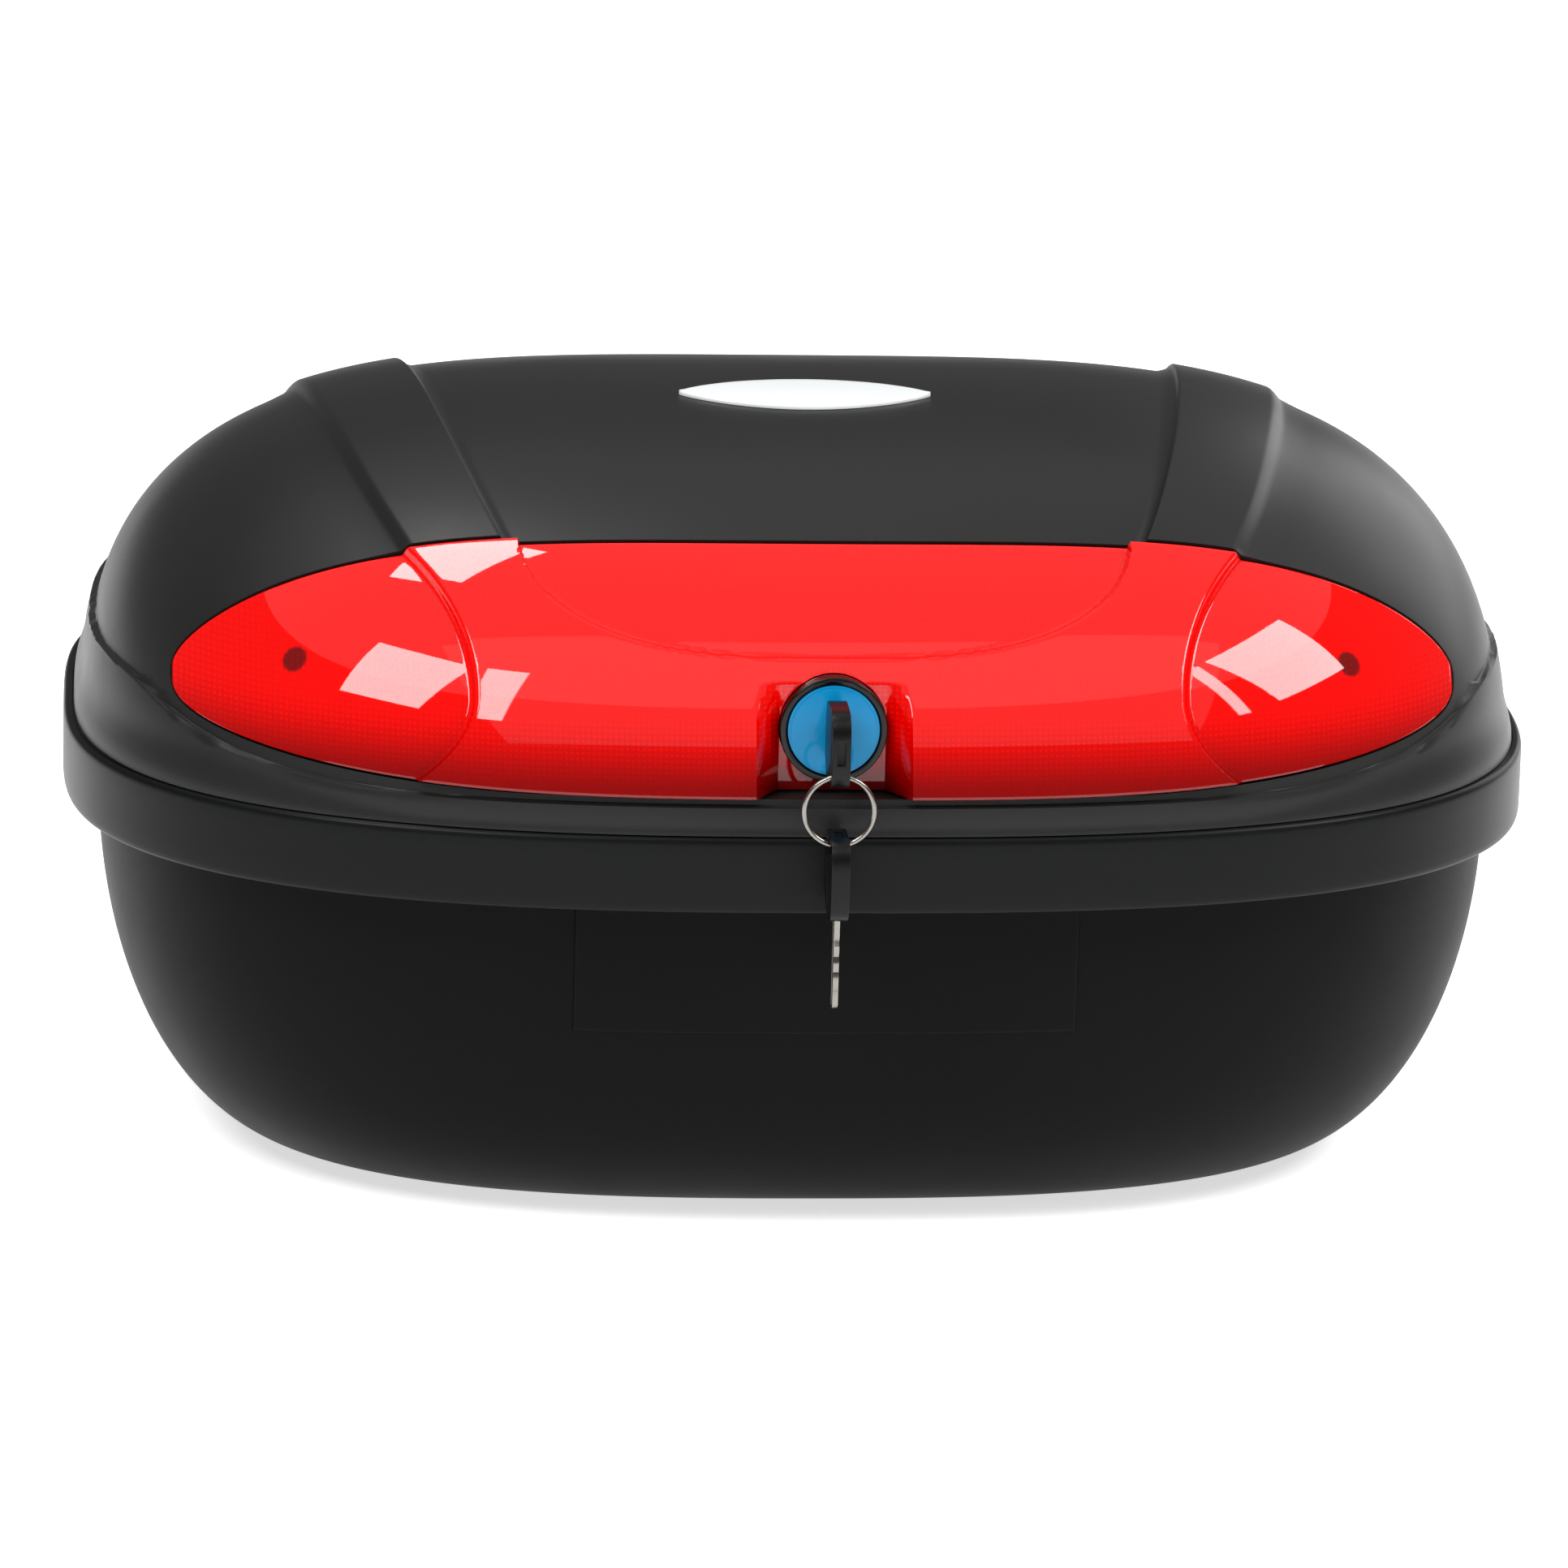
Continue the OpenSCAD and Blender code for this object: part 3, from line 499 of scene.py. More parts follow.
def lens_pmma(deep, bright, pitch_mm):
    """The lens: clear gloss over moulded prisms, with painted shade along its lower edge."""
    # PMMA, moulded red: a polished face, and behind it rows of prisms that break its red into a fine grid.
    # The screws' heads show through it as dark spots.
    made, tree = blank_material("pmma_moulded_red")
    place = add(tree, "ShaderNodeTexCoord").outputs["Object"]
    split = add(tree, "ShaderNodeSeparateXYZ", {}, {"Vector": place})
    waves = 2 * math.pi / (20 * pitch_mm * 0.001)
    bands = [
        add(
            tree,
            "ShaderNodeTexWave",
            {"bands_direction": way},
            {"Vector": place, "Scale": waves, "Distortion": 0.0},
        ).outputs["Fac"]
        for way in ("X", "Z")
    ]
    cells = add(tree, "ShaderNodeMath", {"operation": "MULTIPLY"}, {0: bands[0], 1: bands[1]})
    cloud = add(tree, "ShaderNodeTexNoise", {}, {"Vector": place, "Scale": 9.0, "Detail": 3.0}).outputs["Fac"]
    # Painted shade: below about 214 mm up, the red is drawn deeper towards the lens's lower edge, where its face turns
    # down.
    foot = add(
        tree,
        "ShaderNodeMapRange",
        {"interpolation_type": "SMOOTHSTEP"},
        {"Value": split.outputs["Z"], "From Min": 0.183, "From Max": 0.214, "To Min": 0.0, "To Max": 1.0},
    )
    mixed = add(tree, "ShaderNodeMath", {"operation": "MULTIPLY_ADD"}, {0: cells.outputs[0], 1: 0.34, 2: 0.5})
    base = mixed.outputs[0]
    patch = add(tree, "ShaderNodeMath", {"operation": "MULTIPLY_ADD"}, {0: cloud, 1: 0.2, 2: base})
    lit = foot.outputs["Result"]
    depth = add(tree, "ShaderNodeMath", {"operation": "MULTIPLY"}, {0: patch.outputs[0], 1: lit})
    red = add(tree, "ShaderNodeMix", {"data_type": "RGBA"}, {"Factor": depth.outputs[0]})
    red.inputs[6].default_value, red.inputs[7].default_value = linear(deep), bright
    shade = red.outputs[2]
    for side in (-1, 1):
        spot = off_dome(side * 204.0, 27.5, 0.0) * 0.001
        away = add(tree, "ShaderNodeVectorMath", {"operation": "DISTANCE"}, {0: place, 1: tuple(spot)})
        dark = add(
            tree,
            "ShaderNodeMapRange",
            {"interpolation_type": "SMOOTHSTEP"},
            {
                "Value": away.outputs["Value"],
                "From Min": 0.0042,
                "From Max": 0.0062,
                "To Min": 0.85,
                "To Max": 0.0,
            },
        )
        over = add(tree, "ShaderNodeMix", {"data_type": "RGBA"}, {"Factor": dark.outputs["Result"]})
        tree.links.new(shade, over.inputs[6])
        over.inputs[7].default_value = linear("#3d0a0a")
        shade = over.outputs[2]
    bump = add(tree, "ShaderNodeBump", {}, {"Strength": 0.3, "Distance": 0.0004, "Height": cells.outputs[0]})
    body = add(
        tree,
        "ShaderNodeBsdfPrincipled",
        {},
        {
            "Base Color": shade,
            "Normal": bump.outputs["Normal"],
            "Roughness": 0.5,
            "Specular IOR Level": 0.0,
            "IOR": 1.49,
            "Coat Weight": 1.0,
            "Coat Roughness": 0.02,
            "Coat IOR": 1.49,
        },
    )
    add(tree, "ShaderNodeOutputMaterial", {}, {"Surface": body.outputs["BSDF"]})
    return made, "lens_plastic"


# ---------- settings ----------
class ShellSettings(bpy.types.PropertyGroup):
    """The tub and the lid"""

    wall: FloatProperty(name="Wall", description="Thickness of both shells", default=0.003, unit="LENGTH")
    ridge: FloatProperty(
        name="Ridges", description="Height of the lid's two ridges", default=0.004, unit="LENGTH"
    )
    skirt: FloatProperty(
        name="Skirt", description="How far the lid's skirt stands out", default=0.0025, unit="LENGTH"
    )
    panel: FloatProperty(
        name="Panel", description="How far the tub's front panel stands out", default=0.0018, unit="LENGTH"
    )
    seat: FloatProperty(
        name="Lens seat", description="Depth of the lid's recess for the lens", default=0.007, unit="LENGTH"
    )


class LensSettings(bpy.types.PropertyGroup):
    """The lens"""

    half: FloatProperty(name="Half width", description="Half the lens's width", default=0.251, unit="LENGTH")
    pitch: FloatProperty(
        name="Prism pitch", description="Distance between the prisms", default=0.0021, unit="LENGTH"
    )
    bright: FloatVectorProperty(
        name="Red",
        description="Colour of the prisms where they are lit",
        default=linear("#ff0400")[:3],
        size=3,
        subtype="COLOR",
        min=0,
        max=1,
    )


class LockSettings(bpy.types.PropertyGroup):
    """The lock and the keys"""

    edge: FloatProperty(name="Edge", description="Rounding of the keys' edges", default=0.0008, unit="LENGTH")


class StageSettings(bpy.types.PropertyGroup):
    """The camera and the lights"""

    distance: FloatProperty(
        name="Distance", description="From the camera to the case", default=3.5, unit="LENGTH"
    )
    elevation: FloatProperty(
        name="Elevation",
        description="Camera's angle above the floor",
        default=math.radians(14.44),
        unit="ROTATION",
    )
    azimuth: FloatProperty(
        name="Azimuth",
        description="Camera's angle from straight in front",
        default=math.radians(-4.79),
        unit="ROTATION",
    )
    roll: FloatProperty(name="Roll", description="Camera's tilt", default=math.radians(1.43), unit="ROTATION")
    sky: FloatProperty(name="Surroundings", description="Brightness of the surroundings", default=0.16)


class CaseSettings(bpy.types.PropertyGroup):
    """Everything a user would change"""

    shell: PointerProperty(type=ShellSettings, name="Shells", description="Sizes of the tub and the lid")
    lens: PointerProperty(type=LensSettings, name="Lens", description="Sizes and colour of the lens")
    lock: PointerProperty(type=LockSettings, name="Lock", description="Sizes of the lock and the keys")
    stage: PointerProperty(type=StageSettings, name="Stage", description="Camera and lights")


def settings():
    return bpy.context.scene.top_case


# ---------- tub ----------
def tub_sizes(u):
    """Height, half width and the two half depths of the tub at u, from its floor (0) to the band (1)."""
    t = 1 - math.cos(math.radians(90 * u))
    side, end = float(bulge(1 - t, 2.03, 2.03)), float(bulge(1 - t, 2.6, 2.6))
    a = TUB_A[0] + (TUB_A[1] - TUB_A[0]) * side
    front = TUB_FRONT_B[0] + (TUB_FRONT_B[1] - TUB_FRONT_B[0]) * end
    back = TUB_BACK_B[0] + (TUB_BACK_B[1] - TUB_BACK_B[0]) * end
    return t * BAND_Z, a, front, back


def tub_shape(wall):
    th = turn(360)
    plate_x = PLATE_HIGH.x + 1
    plate_y = 86.0
    mid_y = 15.0
    rings = [
        rounded_box(th, plate_x, plate_y, 4, mid_y, 8.4),
        rounded_box(th, plate_x, plate_y, 4, mid_y, 1.2),
        rounded_box(th, plate_x + 0.4, plate_y + 0.4, 4.4, mid_y, 0.3),
        rounded_box(th, plate_x + 1.2, plate_y + 1.2, 5.2, mid_y, 0.0),
    ]
    floor = outline(th, TUB_A[0], TUB_FRONT_B[0], TUB_BACK_B[0], 0.0)
    rings += [rings[3] + (floor - rings[3]) * k for k in (0.2, 0.4, 0.6, 0.8, 0.93)]
    rings += [outline(th, *tub_sizes(u)[1:], tub_sizes(u)[0]) for u in np.linspace(0, 1, 61)]
    top_a, top_b = TUB_A[1] + 1, TUB_FRONT_B[1] + 1
    rim = [(0.0, 0.8), (0.15, 0.3), (0.6, 0.0), (wall - 0.6, 0.0), (wall - 0.15, 0.3), (wall, 0.8)]
    rings += [outline(th, top_a - c, top_b - c, top_b - c, TUB_TOP - d) for c, d in rim]
    for u in np.linspace(1, 0.05, 40):
        z, a, front, back = tub_sizes(u)
        rings.append(outline(th, a - wall, front - wall, back - wall, wall + z * (BAND_Z - wall) / BAND_Z))
    inner = outline(th, TUB_A[0] - wall, TUB_FRONT_B[0] - wall, TUB_BACK_B[0] - wall, wall)
    block_x, block_y, corner = 106.5, 96.5, 9.5
    foot = rounded_box(th, block_x, block_y, corner, mid_y, wall)
    rings += [inner + (foot - inner) * k for k in (0.0, 0.3, 0.6, 0.85, 1.0)]
    for inset, z in ((1.0, 3.4), (1.5, 4.4), (1.6, 11.0), (2.0, 11.7), (2.8, 12.0)):
        rings.append(rounded_box(th, block_x - inset, block_y - inset, corner - inset, mid_y, z))
    return skin(np.array(rings), around=True, caps=True)


def front_y(x, z):
    """The tub's front surface over x at height z."""
    t = z / BAND_Z
    a = TUB_A[0] + (TUB_A[1] - TUB_A[0]) * bulge(1 - t, 2.03, 2.03)
    b = TUB_FRONT_B[0] + (TUB_FRONT_B[1] - TUB_FRONT_B[0]) * bulge(1 - t, 2.6, 2.6)
    return -b * bulge(x / a, FRONT_N, FRONT_N)


def panel_shape(lift):
    """The raised panel on the tub's front, with a rolled edge."""
    edge = np.array([0.0, 0.0, 0.25, 0.7, 1.2])
    drop = np.array([3.0, 1.2, 0.5, 0.12, 0.0])
    half, foot = 97.0, 86.0
    x = np.concatenate([edge - half, np.linspace(2 - half, half - 2, 61), half - edge[::-1]])
    z = np.concatenate([foot + edge, np.linspace(foot + 2, BAND_Z - 0.3, 24)])
    drop_x = np.concatenate([drop, np.zeros(61), drop[::-1]])
    drop_z = np.concatenate([drop, np.zeros(24)])
    gx, gz = np.meshgrid(x, z)
    fall = np.minimum(3.0, np.hypot(drop_x[None, :], drop_z[:, None]))
    return skin(np.stack([gx, front_y(gx, gz) - lift + fall, gz], -1))


class CASE_OT_tub(bpy.types.Operator):
    """Make the tub: a bowl with a plate recess, a floor block and a raised front panel"""

    bl_idname = "case.tub"
    bl_label = "Tub"

    def execute(self, context):
        shell = settings().shell
        shape = joined(tub_shape(shell.wall * 1000), panel_shape(shell.panel * 1000))
        piece("tub", shape, "tub", ["tub_shell"], tub_abs())
        return {"FINISHED"}


# ---------- band and seal ----------
def swept_band(profile, count=480):
    """A closed profile of [distance in from the band's face, z], swept round. It is flat at each hinge."""
    th = turn(count)
    rings = []
    for inset, z in profile:
        ring = outline(th, HALF_W - inset, HALF_D - inset, HALF_D - inset, z)
        flat = ramp((29 - np.abs(np.abs(ring[:, 0]) - HINGE_X)) / 1.2) * (ring[:, 1] > 0)
        ring[:, 1] += (np.minimum(ring[:, 1], HALF_D - 5) - ring[:, 1]) * flat
        rings.append(ring)
    return skin(np.array(rings), around=True, loop=True)


class CASE_OT_band(bpy.types.Operator):
    """Make the rim band and the seal in its groove"""

    bl_idname = "case.band"
    bl_label = "Band and seal"

    def execute(self, context):
        low, top = BAND_Z, BAND_TOP
        face = [(2.6, 0.0), (1.6, 0.1), (0.9, 0.5), (0.45, 1.2), (0.15, 2.2), (0.0, 3.6)]
        rise = [(0.0, z) for z in (9.0, 15.0, 21.0)]
        crown = [(0.0, 26.6), (0.12, 27.8), (0.4, 28.8), (0.95, 29.6), (1.7, 29.95), (2.4, 30.0)]
        inner = [
            (3.6, 30.0), (3.6, 28.4), (7.6, 28.4), (7.6, 30.0), (16.6, 30.0), (16.8, 29.6),
            (17.2, 26.2), (3.0, 26.2), (3.0, 3.0), (13.7, 3.0), (13.7, 0.0),
        ]
        profile = [(a, low + b) for a, b in face + rise + crown + inner]
        piece("band", swept_band(profile), "tub", ["rim_band"], band_pp())
        z = top - 1.4
        side = [(1.6, 0.0), (1.6, 0.9), (1.3, 1.3), (0.8, 1.55)]
        bead = [(5.6 - a, b) for a, b in side] + [(5.6, 1.6)] + [(5.6 + a, b) for a, b in side[::-1]]
        piece("seal", swept_band([(a, z + b) for a, b in bead], 360), "tub", ["rim_seal"], seal_epdm())
        return {"FINISHED"}


# ---------- lid ----------
def lid_lines(half):
    """The lines across half the lid: close together at the ridges' edges and at the lens's tip."""
    flat = np.linspace(0, 0.94, 34)
    inner = np.linspace(0.955, 1.05, 14)
    crown = np.linspace(1.08, 1.84, 14)
    outer = np.linspace(1.86, 2.08, 16)
    near = line_at(half - np.array([32, 26, 21, 17, 13.5, 10.5, 8, 6, 4.4, 3.1, 2.1, 1.3, 0.7, 0.3, 0.08]))
    past = line_at(half + np.array([0.1, 0.5, 1.5, 3.5, 6, 9, 12, 15, 18, 21, 23.5]))
    last = [2.885, 2.9, 2.925, 2.945, 2.96, 2.972, 2.982, 2.99]
    rim = np.concatenate([np.arange(2.71, 2.87, 0.0125), last])
    lines = np.concatenate([flat, inner, crown, outer, np.linspace(2.1, near[0] - 0.01, 8), near, past])
    lines = np.concatenate([lines, rim[rim > lines[-1] + 0.005]])
    return np.concatenate([-lines[:0:-1], lines])


def lid_angles(v, half, grow):
    """The angles of the rows along one line, with close rows at the crease and at the lens's recess."""
    x = float(line_x(v, 27.0))
    pc = float(crease_angle(x))
    inside = abs(x) < half
    low = max(pc + 0.9, lens_low(x, half) - grow if inside else LENS_MID - 1)
    high = max(low + 1.5, lens_high(x, half) + grow if inside else LENS_MID + 1)
    foot = pc * np.array([0, 0.06, 0.13, 0.22, 0.35, 0.5, 0.65, 0.8, 0.9, 0.96])
    crease = pc + np.array([-0.12, 0.0, 0.12, 0.24, 0.36, 0.5, 0.64])
    over = pc + 0.64 + (low - pc - 0.64) * np.array([0.25, 0.5, 0.75, 0.93])
    seat = np.linspace(low + 0.07, high - 0.07, 26)
    front = high + (90 - high) * np.linspace(0, 1, 34)[1:] ** 1.15
    back = 90 + np.linspace(0, 1, 46)[1:] * (89.4 - pc)
    last = np.maximum(back[-1], 180 - pc + np.array([-0.35, -0.22, -0.1, 0.02, 0.14]))
    end = 180 - pc * np.array([0.9, 0.75, 0.55, 0.35, 0.2, 0.1, 0.04, 0])
    below, above = [low - 0.04, low], [high, high + 0.05]
    angles = np.concatenate([foot, crease, over, below, seat, above, front, back, last, end])
    first = len(foot) + len(crease) + len(over) + 2
    return np.maximum.accumulate(angles), (first, first + len(seat)) if inside else (0, 0)


def lid_side(lines, half, grow, inward, plane, shell):
    """One face of the lid, as rows along each line. inward is how far inside the outer face it lies."""
    sheet = []
    for v in lines:
        ph, (first, last) = lid_angles(v, half, grow)
        x = line_x(v, ph)
        lift = ridge_lift(v, ph, shell.ridge * 1000)
        lift[first:last] = -shell.seat * 1000
        lift += skirt_lift(dome(x, ph), shell.skirt * 1000)
        points = off_dome(x, ph, lift - inward)
        points[:, 2] = np.maximum(points[:, 2], LID_Z)
        flat = 1 - np.clip((np.abs(x[first:last]) - POCKET_HALF) / POCKET_RUN, 0, 1)
        points[first:last, 1] += np.maximum(0, plane - points[first:last, 1]) * flat
        sheet.append(points)
    return np.array(sheet)


def hinge_pads():
    """Flat pads on the lid behind the hinge leaves."""
    shapes = []
    for side in (-1, 1):
        cx, low, high, face = side * HINGE_X, HINGE_Z + 3, HINGE_Z + 29, HALF_D - 3
        loops = []
        for y, grow in ((HALF_D - 15, 0.0), (face - 0.8, 0.0), (face - 0.2, -0.25), (face, -0.9)):
            hx, hz = 26.5 + grow, (high - low) / 2 + grow
            th = turn(96)
            ring = rounded_box(th, hx, hz, 2.5, 0, 0)
            loops.append(np.stack([ring[:, 0] + cx, np.full(len(th), y), ring[:, 1] + (low + high) / 2], -1))
        shapes.append(skin(np.array(loops), around=True, caps=True))
    return shapes


class CASE_OT_lid(bpy.types.Operator):
    """Make the lid: a domed shell with two ridges, a skirt, and a recess for the lens"""

    bl_idname = "case.lid"
    bl_label = "Lid"

    def execute(self, context):
        shell, half = settings().shell, settings().lens.half * 1000
        wall = shell.wall * 1000
        lines = lid_lines(half)
        outer = lid_side(lines, half, 0.0, 0.0, SEAT_Y, shell)
        inner = lid_side(lines, half + 4, 1.1, wall, SEAT_Y + 5.4, shell)
        grid = np.concatenate([outer, inner[:, ::-1]], axis=1)
        shape = joined(skin(grid, around=True, caps=True), *hinge_pads())
        piece("lid", shape, "lid", ["lid_shell"], lid_abs(), 32.0)
        return {"FINISHED"}


class CASE_OT_badge(bpy.types.Operator):
    """Make the plain badge on the lid"""

    bl_idname = "case.badge"
    bl_label = "Badge"

    def execute(self, context):
        half, mid_y = BADGE_HIGH.x, (BADGE_LOW.y + BADGE_HIGH.y) / 2
        deep = (BADGE_HIGH.y - BADGE_LOW.y) / 2
        u = np.sin(np.linspace(-1, 1, 97) * math.pi / 2) * 0.999
        edge = np.array([0.0, 0.0, 0.3, 0.8, 1.5])
        lift = np.array([0.1, 1.1, 1.5, 1.7, 1.8])
        sheet = []
        for x in u * half:
            reach = deep * max(0.0, 1 - (x / half) ** 2) ** 0.8 + 0.15
            steps = np.minimum(edge, reach * 0.45)
            flat = np.linspace(-reach + steps[-1], reach - steps[-1], 14)[1:-1]
            y = np.concatenate([-reach + steps, flat, reach - steps[::-1]])
            up = np.concatenate([lift, np.full(12, 1.8), lift[::-1]])
            depth = DOME_B * float(bulge(x / DOME_A, FRONT_N, FRONT_N))
            ph = np.degrees(np.arccos(np.clip(-(y + mid_y) / depth, -1, 1)))
            sheet.append(off_dome(np.full_like(y, x), ph, up))
        piece("badge", skin(np.array(sheet)), "lid", ["lid_badge"], badge_abs())
        return {"FINISHED"}


# ---------- lens ----------
def lens_columns(half):
    """Where the columns of the lens stand, closer at its tips and at its raised edges."""
    middle = np.linspace(0, 108, 70)
    inner = np.linspace(109, 120, 18)
    edge = np.linspace(120.6, 170, 108)
    wing = np.linspace(172, half - 10, 34)
    tip = half - np.array([8.5, 7, 5.6, 4.4, 3.3, 2.4, 1.6, 1.0, 0.55, 0.25, 0.08])
    x = np.concatenate([middle, inner, edge, wing, tip])
    return np.concatenate([-x[:0:-1], x])


def lens_shape(half, ridge, thick):
    x = lens_columns(half)
    first, last = [0, 0.003, 0.008, 0.015, 0.025], [0.975, 0.985, 0.992, 0.997, 1]
    share = np.concatenate([first, np.linspace(0.035, 0.965, 110), last])
    sheet = []
    for at in x:
        low, high = lens_low(at, half) + 0.3, lens_high(at, half) - 0.3
        if high < low + 0.2:
            low = high = (low + high) / 2
            high = low + 0.2
        ph = low + (high - low) * share
        lift = lens_lift(at, ph, ridge)
        arc = DOME_B * math.pi / 180
        near = np.minimum(np.minimum(ph - low, high - ph) * arc, (half - abs(at)) * 0.9)
        roll = 0.9 * (1 - np.sqrt(np.clip(1 - (1 - np.clip(near / 1.1, 0, 1)) ** 2, 0, 1)))
        face = off_dome(np.full_like(ph, at), ph, lift - 0.4 - roll)
        back = off_dome(np.full_like(ph, at), ph, lift - 0.4 - thick)
        for points, plane in ((face, POCKET_Y), (back, POCKET_Y + thick)):
            w = 1 - np.clip((abs(at) - POCKET_HALF) / POCKET_RUN, 0, 1)
            inset = np.maximum(0, plane - points[:, 1]) * w
            points[:, 1] += np.where(points[:, 2] > LOCK_Z + 21.5, 0, inset)
        sheet.append(np.concatenate([back[:1], face, back[-1:]]))
    return skin(np.array(sheet))


def pocket_hole(shape, radius):
    """Opens the lens round the lock."""
    points, faces = shape
    centre = np.array([0.0, LOCK_Z * 0.001])
    far = np.hypot(points[:, 0] - centre[0], points[:, 2] - centre[1])
    front = points[:, 1] < 0
    inside = (far < radius * 0.001) & front
    keep = [f for f in faces if not all(inside[i] for i in f)]
    pull = inside & (far > radius * 0.001 * 0.5)
    used = {i for f in keep for i in f}
    for i in np.nonzero(pull)[0]:
        if i in used:
            scale = radius * 0.001 / far[i]
            points[i, 0] *= scale
            points[i, 2] = centre[1] + (points[i, 2] - centre[1]) * scale
    return points, keep


class CASE_OT_lens(bpy.types.Operator):
    """Make the lens and finish what lies behind it"""

    bl_idname = "case.lens"
    bl_label = "Lens"

    def execute(self, context):
        lens = settings().lens
        shape = pocket_hole(lens_shape(lens.half * 1000, settings().shell.ridge * 1000, 2.6), 20.8)
        material = lens_pmma("#7c0000", (*lens.bright, 1.0), lens.pitch * 1000)
        piece("lens", shape, "lid", ["lens"], material, 30.0)
        finish_node("lens_reflector", mirror_sheet())
        finish_node("lens_screws", plated("boss_steel"))
        return {"FINISHED"}


# ---------- what keeps its CAD shape ----------
def finish_node(node, material):
    """Gives a CAD node its material."""
    mesh = frame["nodes"][node].data
    mesh.materials.clear()
    mesh.materials.append(material[0])


class CASE_OT_lock(bpy.types.Operator):
    """Make the lock, its nut and cam, and the latch"""

    bl_idname = "case.lock"
    bl_label = "Lock and latch"

    def execute(self, context):
        softened("lock_body", 0.6, lock_nylon(), 3)
        softened("lock_plug", 0.7, plug_blue("#0583b8"), 3)
        softened("lock_nut", 0.4, turned("steel"))
        softened("lock_cam", 0.3, plated("zinc_steel"))
        softened("cam_screw", 0.15, plated("screw_steel"))
        softened("latch_bracket", 0.4, plated("zinc_steel"))
        softened("latch_hook", 0.5, plated("zinc_steel"))
        softened("latch_pin", 0.3, turned("steel"))
        softened("striker", 0.4, plated("zinc_steel"))
        softened("striker_screws", 0.2, plated("screw_steel"))
        finish_node("latch_spring", spring_wire())
        return {"FINISHED"}


class CASE_OT_keys(bpy.types.Operator):
    """Make the key, the spare key and the ring that holds them"""

    bl_idname = "case.keys"
    bl_label = "Keys"

    def execute(self, context):
        edge = settings().lock.edge * 1000
        for node in ("key_head", "spare_key_head"):
            softened(node, edge, key_abs(), 3)
        for node in ("key_blade", "spare_key_blade"):
            softened(node, 0.12, nickel("blade_steel"))
        ring_mid = (RING_LOW + RING_HIGH) / 2
        wire = 1.0
        radius = (RING_HIGH.x - RING_LOW.x) / 2 - wire
        t, s = turn(128), turn(20)
        gt, gs = np.meshgrid(t, s, indexing="ij")
        reach = radius + wire * np.cos(gs)
        x, z = ring_mid.x + reach * np.cos(gt), ring_mid.z + reach * np.sin(gt)
        grid = np.stack([x, ring_mid.y + wire * np.sin(gs), z], -1)
        piece("split_ring", skin(grid, around=True, loop=True), "ring", ["key_ring"], nickel("ring_steel"))
        return {"FINISHED"}


class CASE_OT_hinges(bpy.types.Operator):
    """Make the two hinges"""

    bl_idname = "case.hinges"
    bl_label = "Hinges"

    def execute(self, context):
        for side in ("left", "right"):
            softened("hinge_bracket_" + side, 0.5, nylon_black("hinge_plastic"))
            softened("hinge_leaf_" + side, 0.5, nylon_black("hinge_plastic"))
            softened("hinge_pin_" + side, 0.3, turned("steel"))
        for node in ("hinge_screws_lower", "hinge_screws_upper"):
            softened(node, 0.25, plated("screw_steel"))
        return {"FINISHED"}


class CASE_OT_plate(bpy.types.Operator):
    """Make the mounting plate and the release that holds the case on it"""

    bl_idname = "case.plate"
    bl_label = "Plate and release"

    def execute(self, context):
        softened("mounting_plate", 0.6, nylon_black("plate_plastic"))
        softened("release_housing", 0.8, nylon_black("plate_plastic"))
        softened("release_tongue", 0.6, nylon_red())
        softened("release_screws", 0.2, plated("screw_steel"))
        self.spring()
        return {"FINISHED"}

    def spring(self):
        """The release spring, wound as a coil of wire between the ends of its CAD part."""
        low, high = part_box("release_spring")
        middle, wire = 500 * (low + high), 0.6
        radius = 500 * (high.x - low.x) - wire
        start, end = 1000 * low.y + wire, 1000 * high.y - wire
        t = np.linspace(0, 12 * np.pi, 289)
        s = turn(12)
        gt, gs = np.meshgrid(t, s, indexing="ij")
        reach = radius + wire * np.cos(gs)
        y = start + (end - start) * gt / t[-1] + wire * np.sin(gs)
        coil = np.stack([middle.x + reach * np.cos(gt), y, middle.z + reach * np.sin(gt)], -1)
        shape = skin(coil, around=True, caps=True)
        made = piece("release_coil", shape, None, ["release_spring"], spring_wire(), 60.0)
        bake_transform(made)


# ---------- stage ----------
# Each softbox: name, azimuth and elevation in degrees as seen from the case, size in metres, and power
SOFTBOXES = [
    ("left_pane", -48, 47, (0.66, 0.8), 21),
    ("left_pane_inner", -24, 45, (0.2, 0.8), 6),
    ("left_pane_top", -130, 75, (0.6, 0.4), 11),
    ("right_pane", 72, 44, (0.8, 0.8), 26),
    ("right_pane_inner", 50, 42, (0.1, 0.8), 3),
    ("right_flank", 140, 20, (1.4, 1.4), 12),
    ("front_fill", 5, 50, (2.6, 1.8), 7),
]


def softbox(name, spot, aim, size, power):
    """A rectangular studio light."""
    light = bpy.data.lights.new(name, "AREA")
    light.shape = "RECTANGLE"
    light.size, light.size_y = size
    light.energy = power
    made = bpy.data.objects.new(name, light)
    bpy.context.scene.collection.objects.link(made)
    made.location = spot
    made.rotation_mode = "QUATERNION"
    made.rotation_quaternion = (Vector(aim) - Vector(spot)).to_track_quat("-Z", "Y")
    made.visible_camera = False


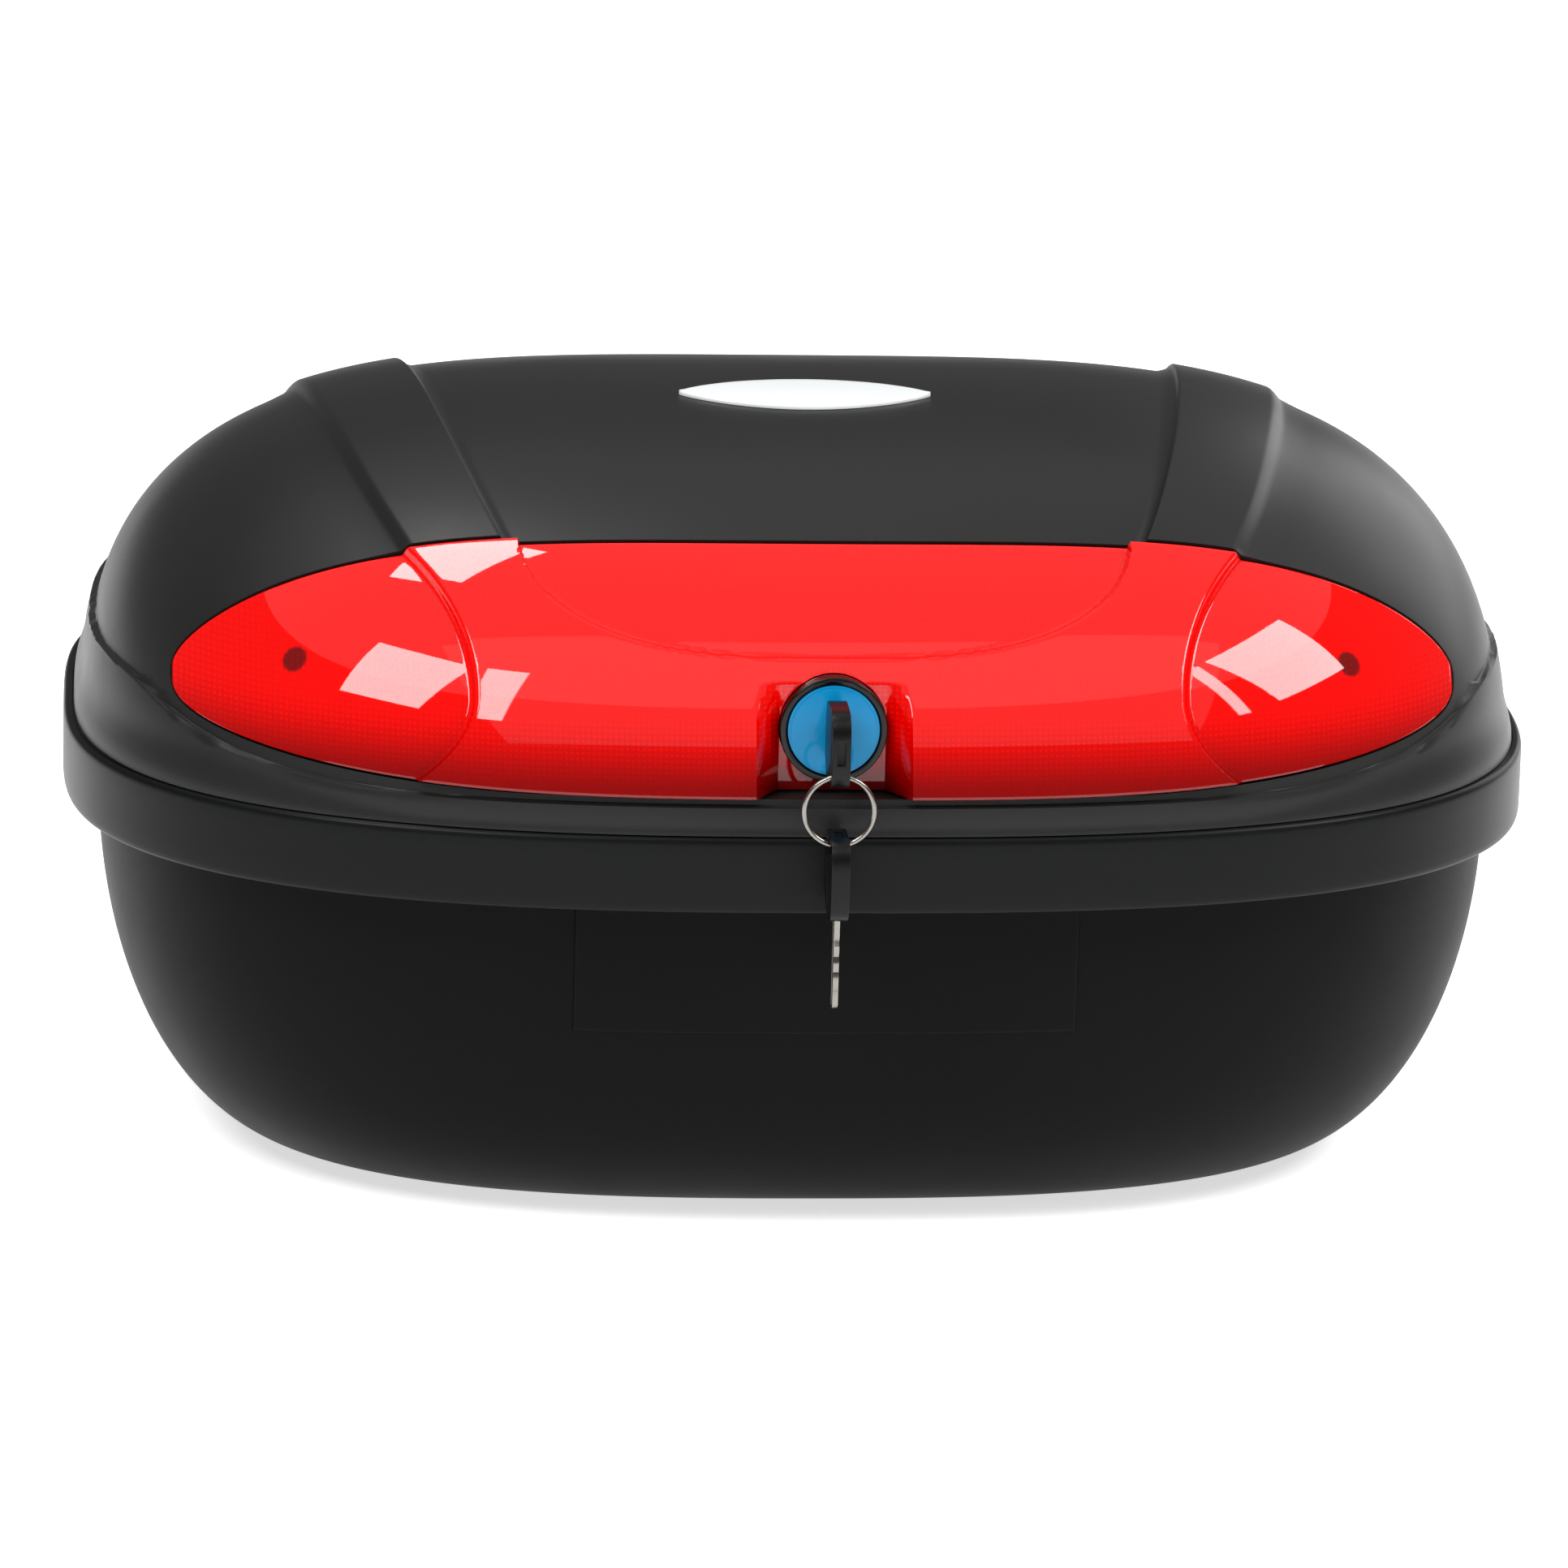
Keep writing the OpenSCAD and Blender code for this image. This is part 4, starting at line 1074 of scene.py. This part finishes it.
class CASE_OT_stage(bpy.types.Operator):
    """Make the floor, the surroundings, the lights and the camera"""

    bl_idname = "case.stage"
    bl_label = "Stage"

    def execute(self, context):
        stage = settings().stage
        scene = bpy.context.scene
        scene.view_settings.view_transform = "Standard"
        self.floor()
        self.surroundings(stage.sky)
        self.lights()
        self.camera(stage)
        return {"FINISHED"}

    def floor(self):
        mesh = bpy.data.meshes.new("floor")
        bm = bmesh.new()
        bmesh.ops.create_grid(bm, x_segments=8, y_segments=8, size=15)
        bm.to_mesh(mesh)
        bm.free()
        # Studio paper on a light table: matt, near white, and lit through from below
        glow = {"Emission Color": (1.0, 1.0, 1.0, 1.0), "Emission Strength": 0.66, "Specular IOR Level": 0.0}
        paper = grained("studio_paper", "#f2f2f2", "#f6f6f6", (0.9, 0.95), 3.0, 0.0, glow)
        mesh.materials.append(paper)
        made = bpy.data.objects.new("floor", mesh)
        bpy.context.scene.collection.objects.link(made)
        made.location.z = -0.0002

    def surroundings(self, strength):
        world = bpy.data.worlds.new("studio")
        world.use_nodes = True
        world.node_tree.nodes.clear()
        tree = world.node_tree
        glow = add(tree, "ShaderNodeBackground", {}, {"Color": (1.0, 1.0, 1.0, 1.0), "Strength": strength})
        add(tree, "ShaderNodeOutputWorld", {}, {"Surface": glow.outputs["Background"]})
        bpy.context.scene.world = world

    def lights(self):
        sun = bpy.data.lights.new("ceiling", "SUN")
        sun.energy = 0.9
        sun.angle = math.radians(90)
        made = bpy.data.objects.new("ceiling", sun)
        bpy.context.scene.collection.objects.link(made)
        for name, azimuth, elevation, size, power in SOFTBOXES:
            a, e = math.radians(azimuth), math.radians(elevation)
            aim = Vector((0.17 * (1 if azimuth > 0 else -1), -0.16, 0.22))
            way = Vector((math.sin(a) * math.cos(e), -math.cos(a) * math.cos(e), math.sin(e)))
            softbox(name, aim + way * 2.2, aim, size, power)

    def camera(self, stage):
        lens = bpy.data.cameras.new("camera")
        lens.sensor_width = 36.0
        lens.lens = 198.7
        lens.dof.use_dof = False
        made = bpy.data.objects.new("camera", lens)
        bpy.context.scene.collection.objects.link(made)
        a, e, r = stage.azimuth, stage.elevation, stage.roll
        back = Vector((math.sin(a) * math.cos(e), -math.cos(a) * math.cos(e), math.sin(e)))
        right = Vector((math.cos(a), math.sin(a), 0))
        up = back.cross(right)
        turned_right = right * math.cos(r) + up * math.sin(r)
        turned_up = up * math.cos(r) - right * math.sin(r)
        centre = Vector((0, 0, 0.15))
        spot = centre + back * stage.distance
        # The case sits a little above the middle of the frame
        look = (centre - turned_right * 0.002 - turned_up * 0.0171 - spot).normalized()
        side = look.cross(turned_up).normalized()
        facing = Matrix((side, side.cross(look), -look)).transposed().to_4x4()
        made.matrix_world = Matrix.Translation(spot) @ facing
        bpy.context.scene.camera = made


class CASE_PT_panel(bpy.types.Panel):
    """Lists what the case is made of"""

    bl_idname = "CASE_PT_panel"
    bl_label = "Top case"
    bl_space_type = "VIEW_3D"
    bl_region_type = "UI"
    bl_category = "Top case"

    def draw(self, context):
        layout = self.layout
        for maker in MAKERS:
            layout.operator(maker.bl_idname)
        case = context.scene.top_case
        for group in (case.shell, case.lens, case.lock, case.stage):
            box = layout.box()
            for name in group.bl_rna.properties.keys():
                if name not in ("rna_type", "name"):
                    box.prop(group, name)


GROUPS = (ShellSettings, LensSettings, LockSettings, StageSettings, CaseSettings)
MAKERS = (
    CASE_OT_tub,
    CASE_OT_band,
    CASE_OT_lid,
    CASE_OT_badge,
    CASE_OT_lens,
    CASE_OT_lock,
    CASE_OT_keys,
    CASE_OT_hinges,
    CASE_OT_plate,
    CASE_OT_stage,
)


def register():
    for c in GROUPS + MAKERS + (CASE_PT_panel,):
        bpy.utils.register_class(c)
    bpy.types.Scene.top_case = PointerProperty(type=CaseSettings)


def unregister():
    del bpy.types.Scene.top_case
    for c in reversed(GROUPS + MAKERS + (CASE_PT_panel,)):
        bpy.utils.unregister_class(c)


def main():
    register()
    bpy.ops.case.stage()
    bpy.ops.case.tub()
    bpy.ops.case.band()
    bpy.ops.case.lid()
    bpy.ops.case.badge()
    bpy.ops.case.lens()
    bpy.ops.case.lock()
    bpy.ops.case.keys()
    bpy.ops.case.hinges()
    bpy.ops.case.plate()


if __name__ == "__main__":
    main()
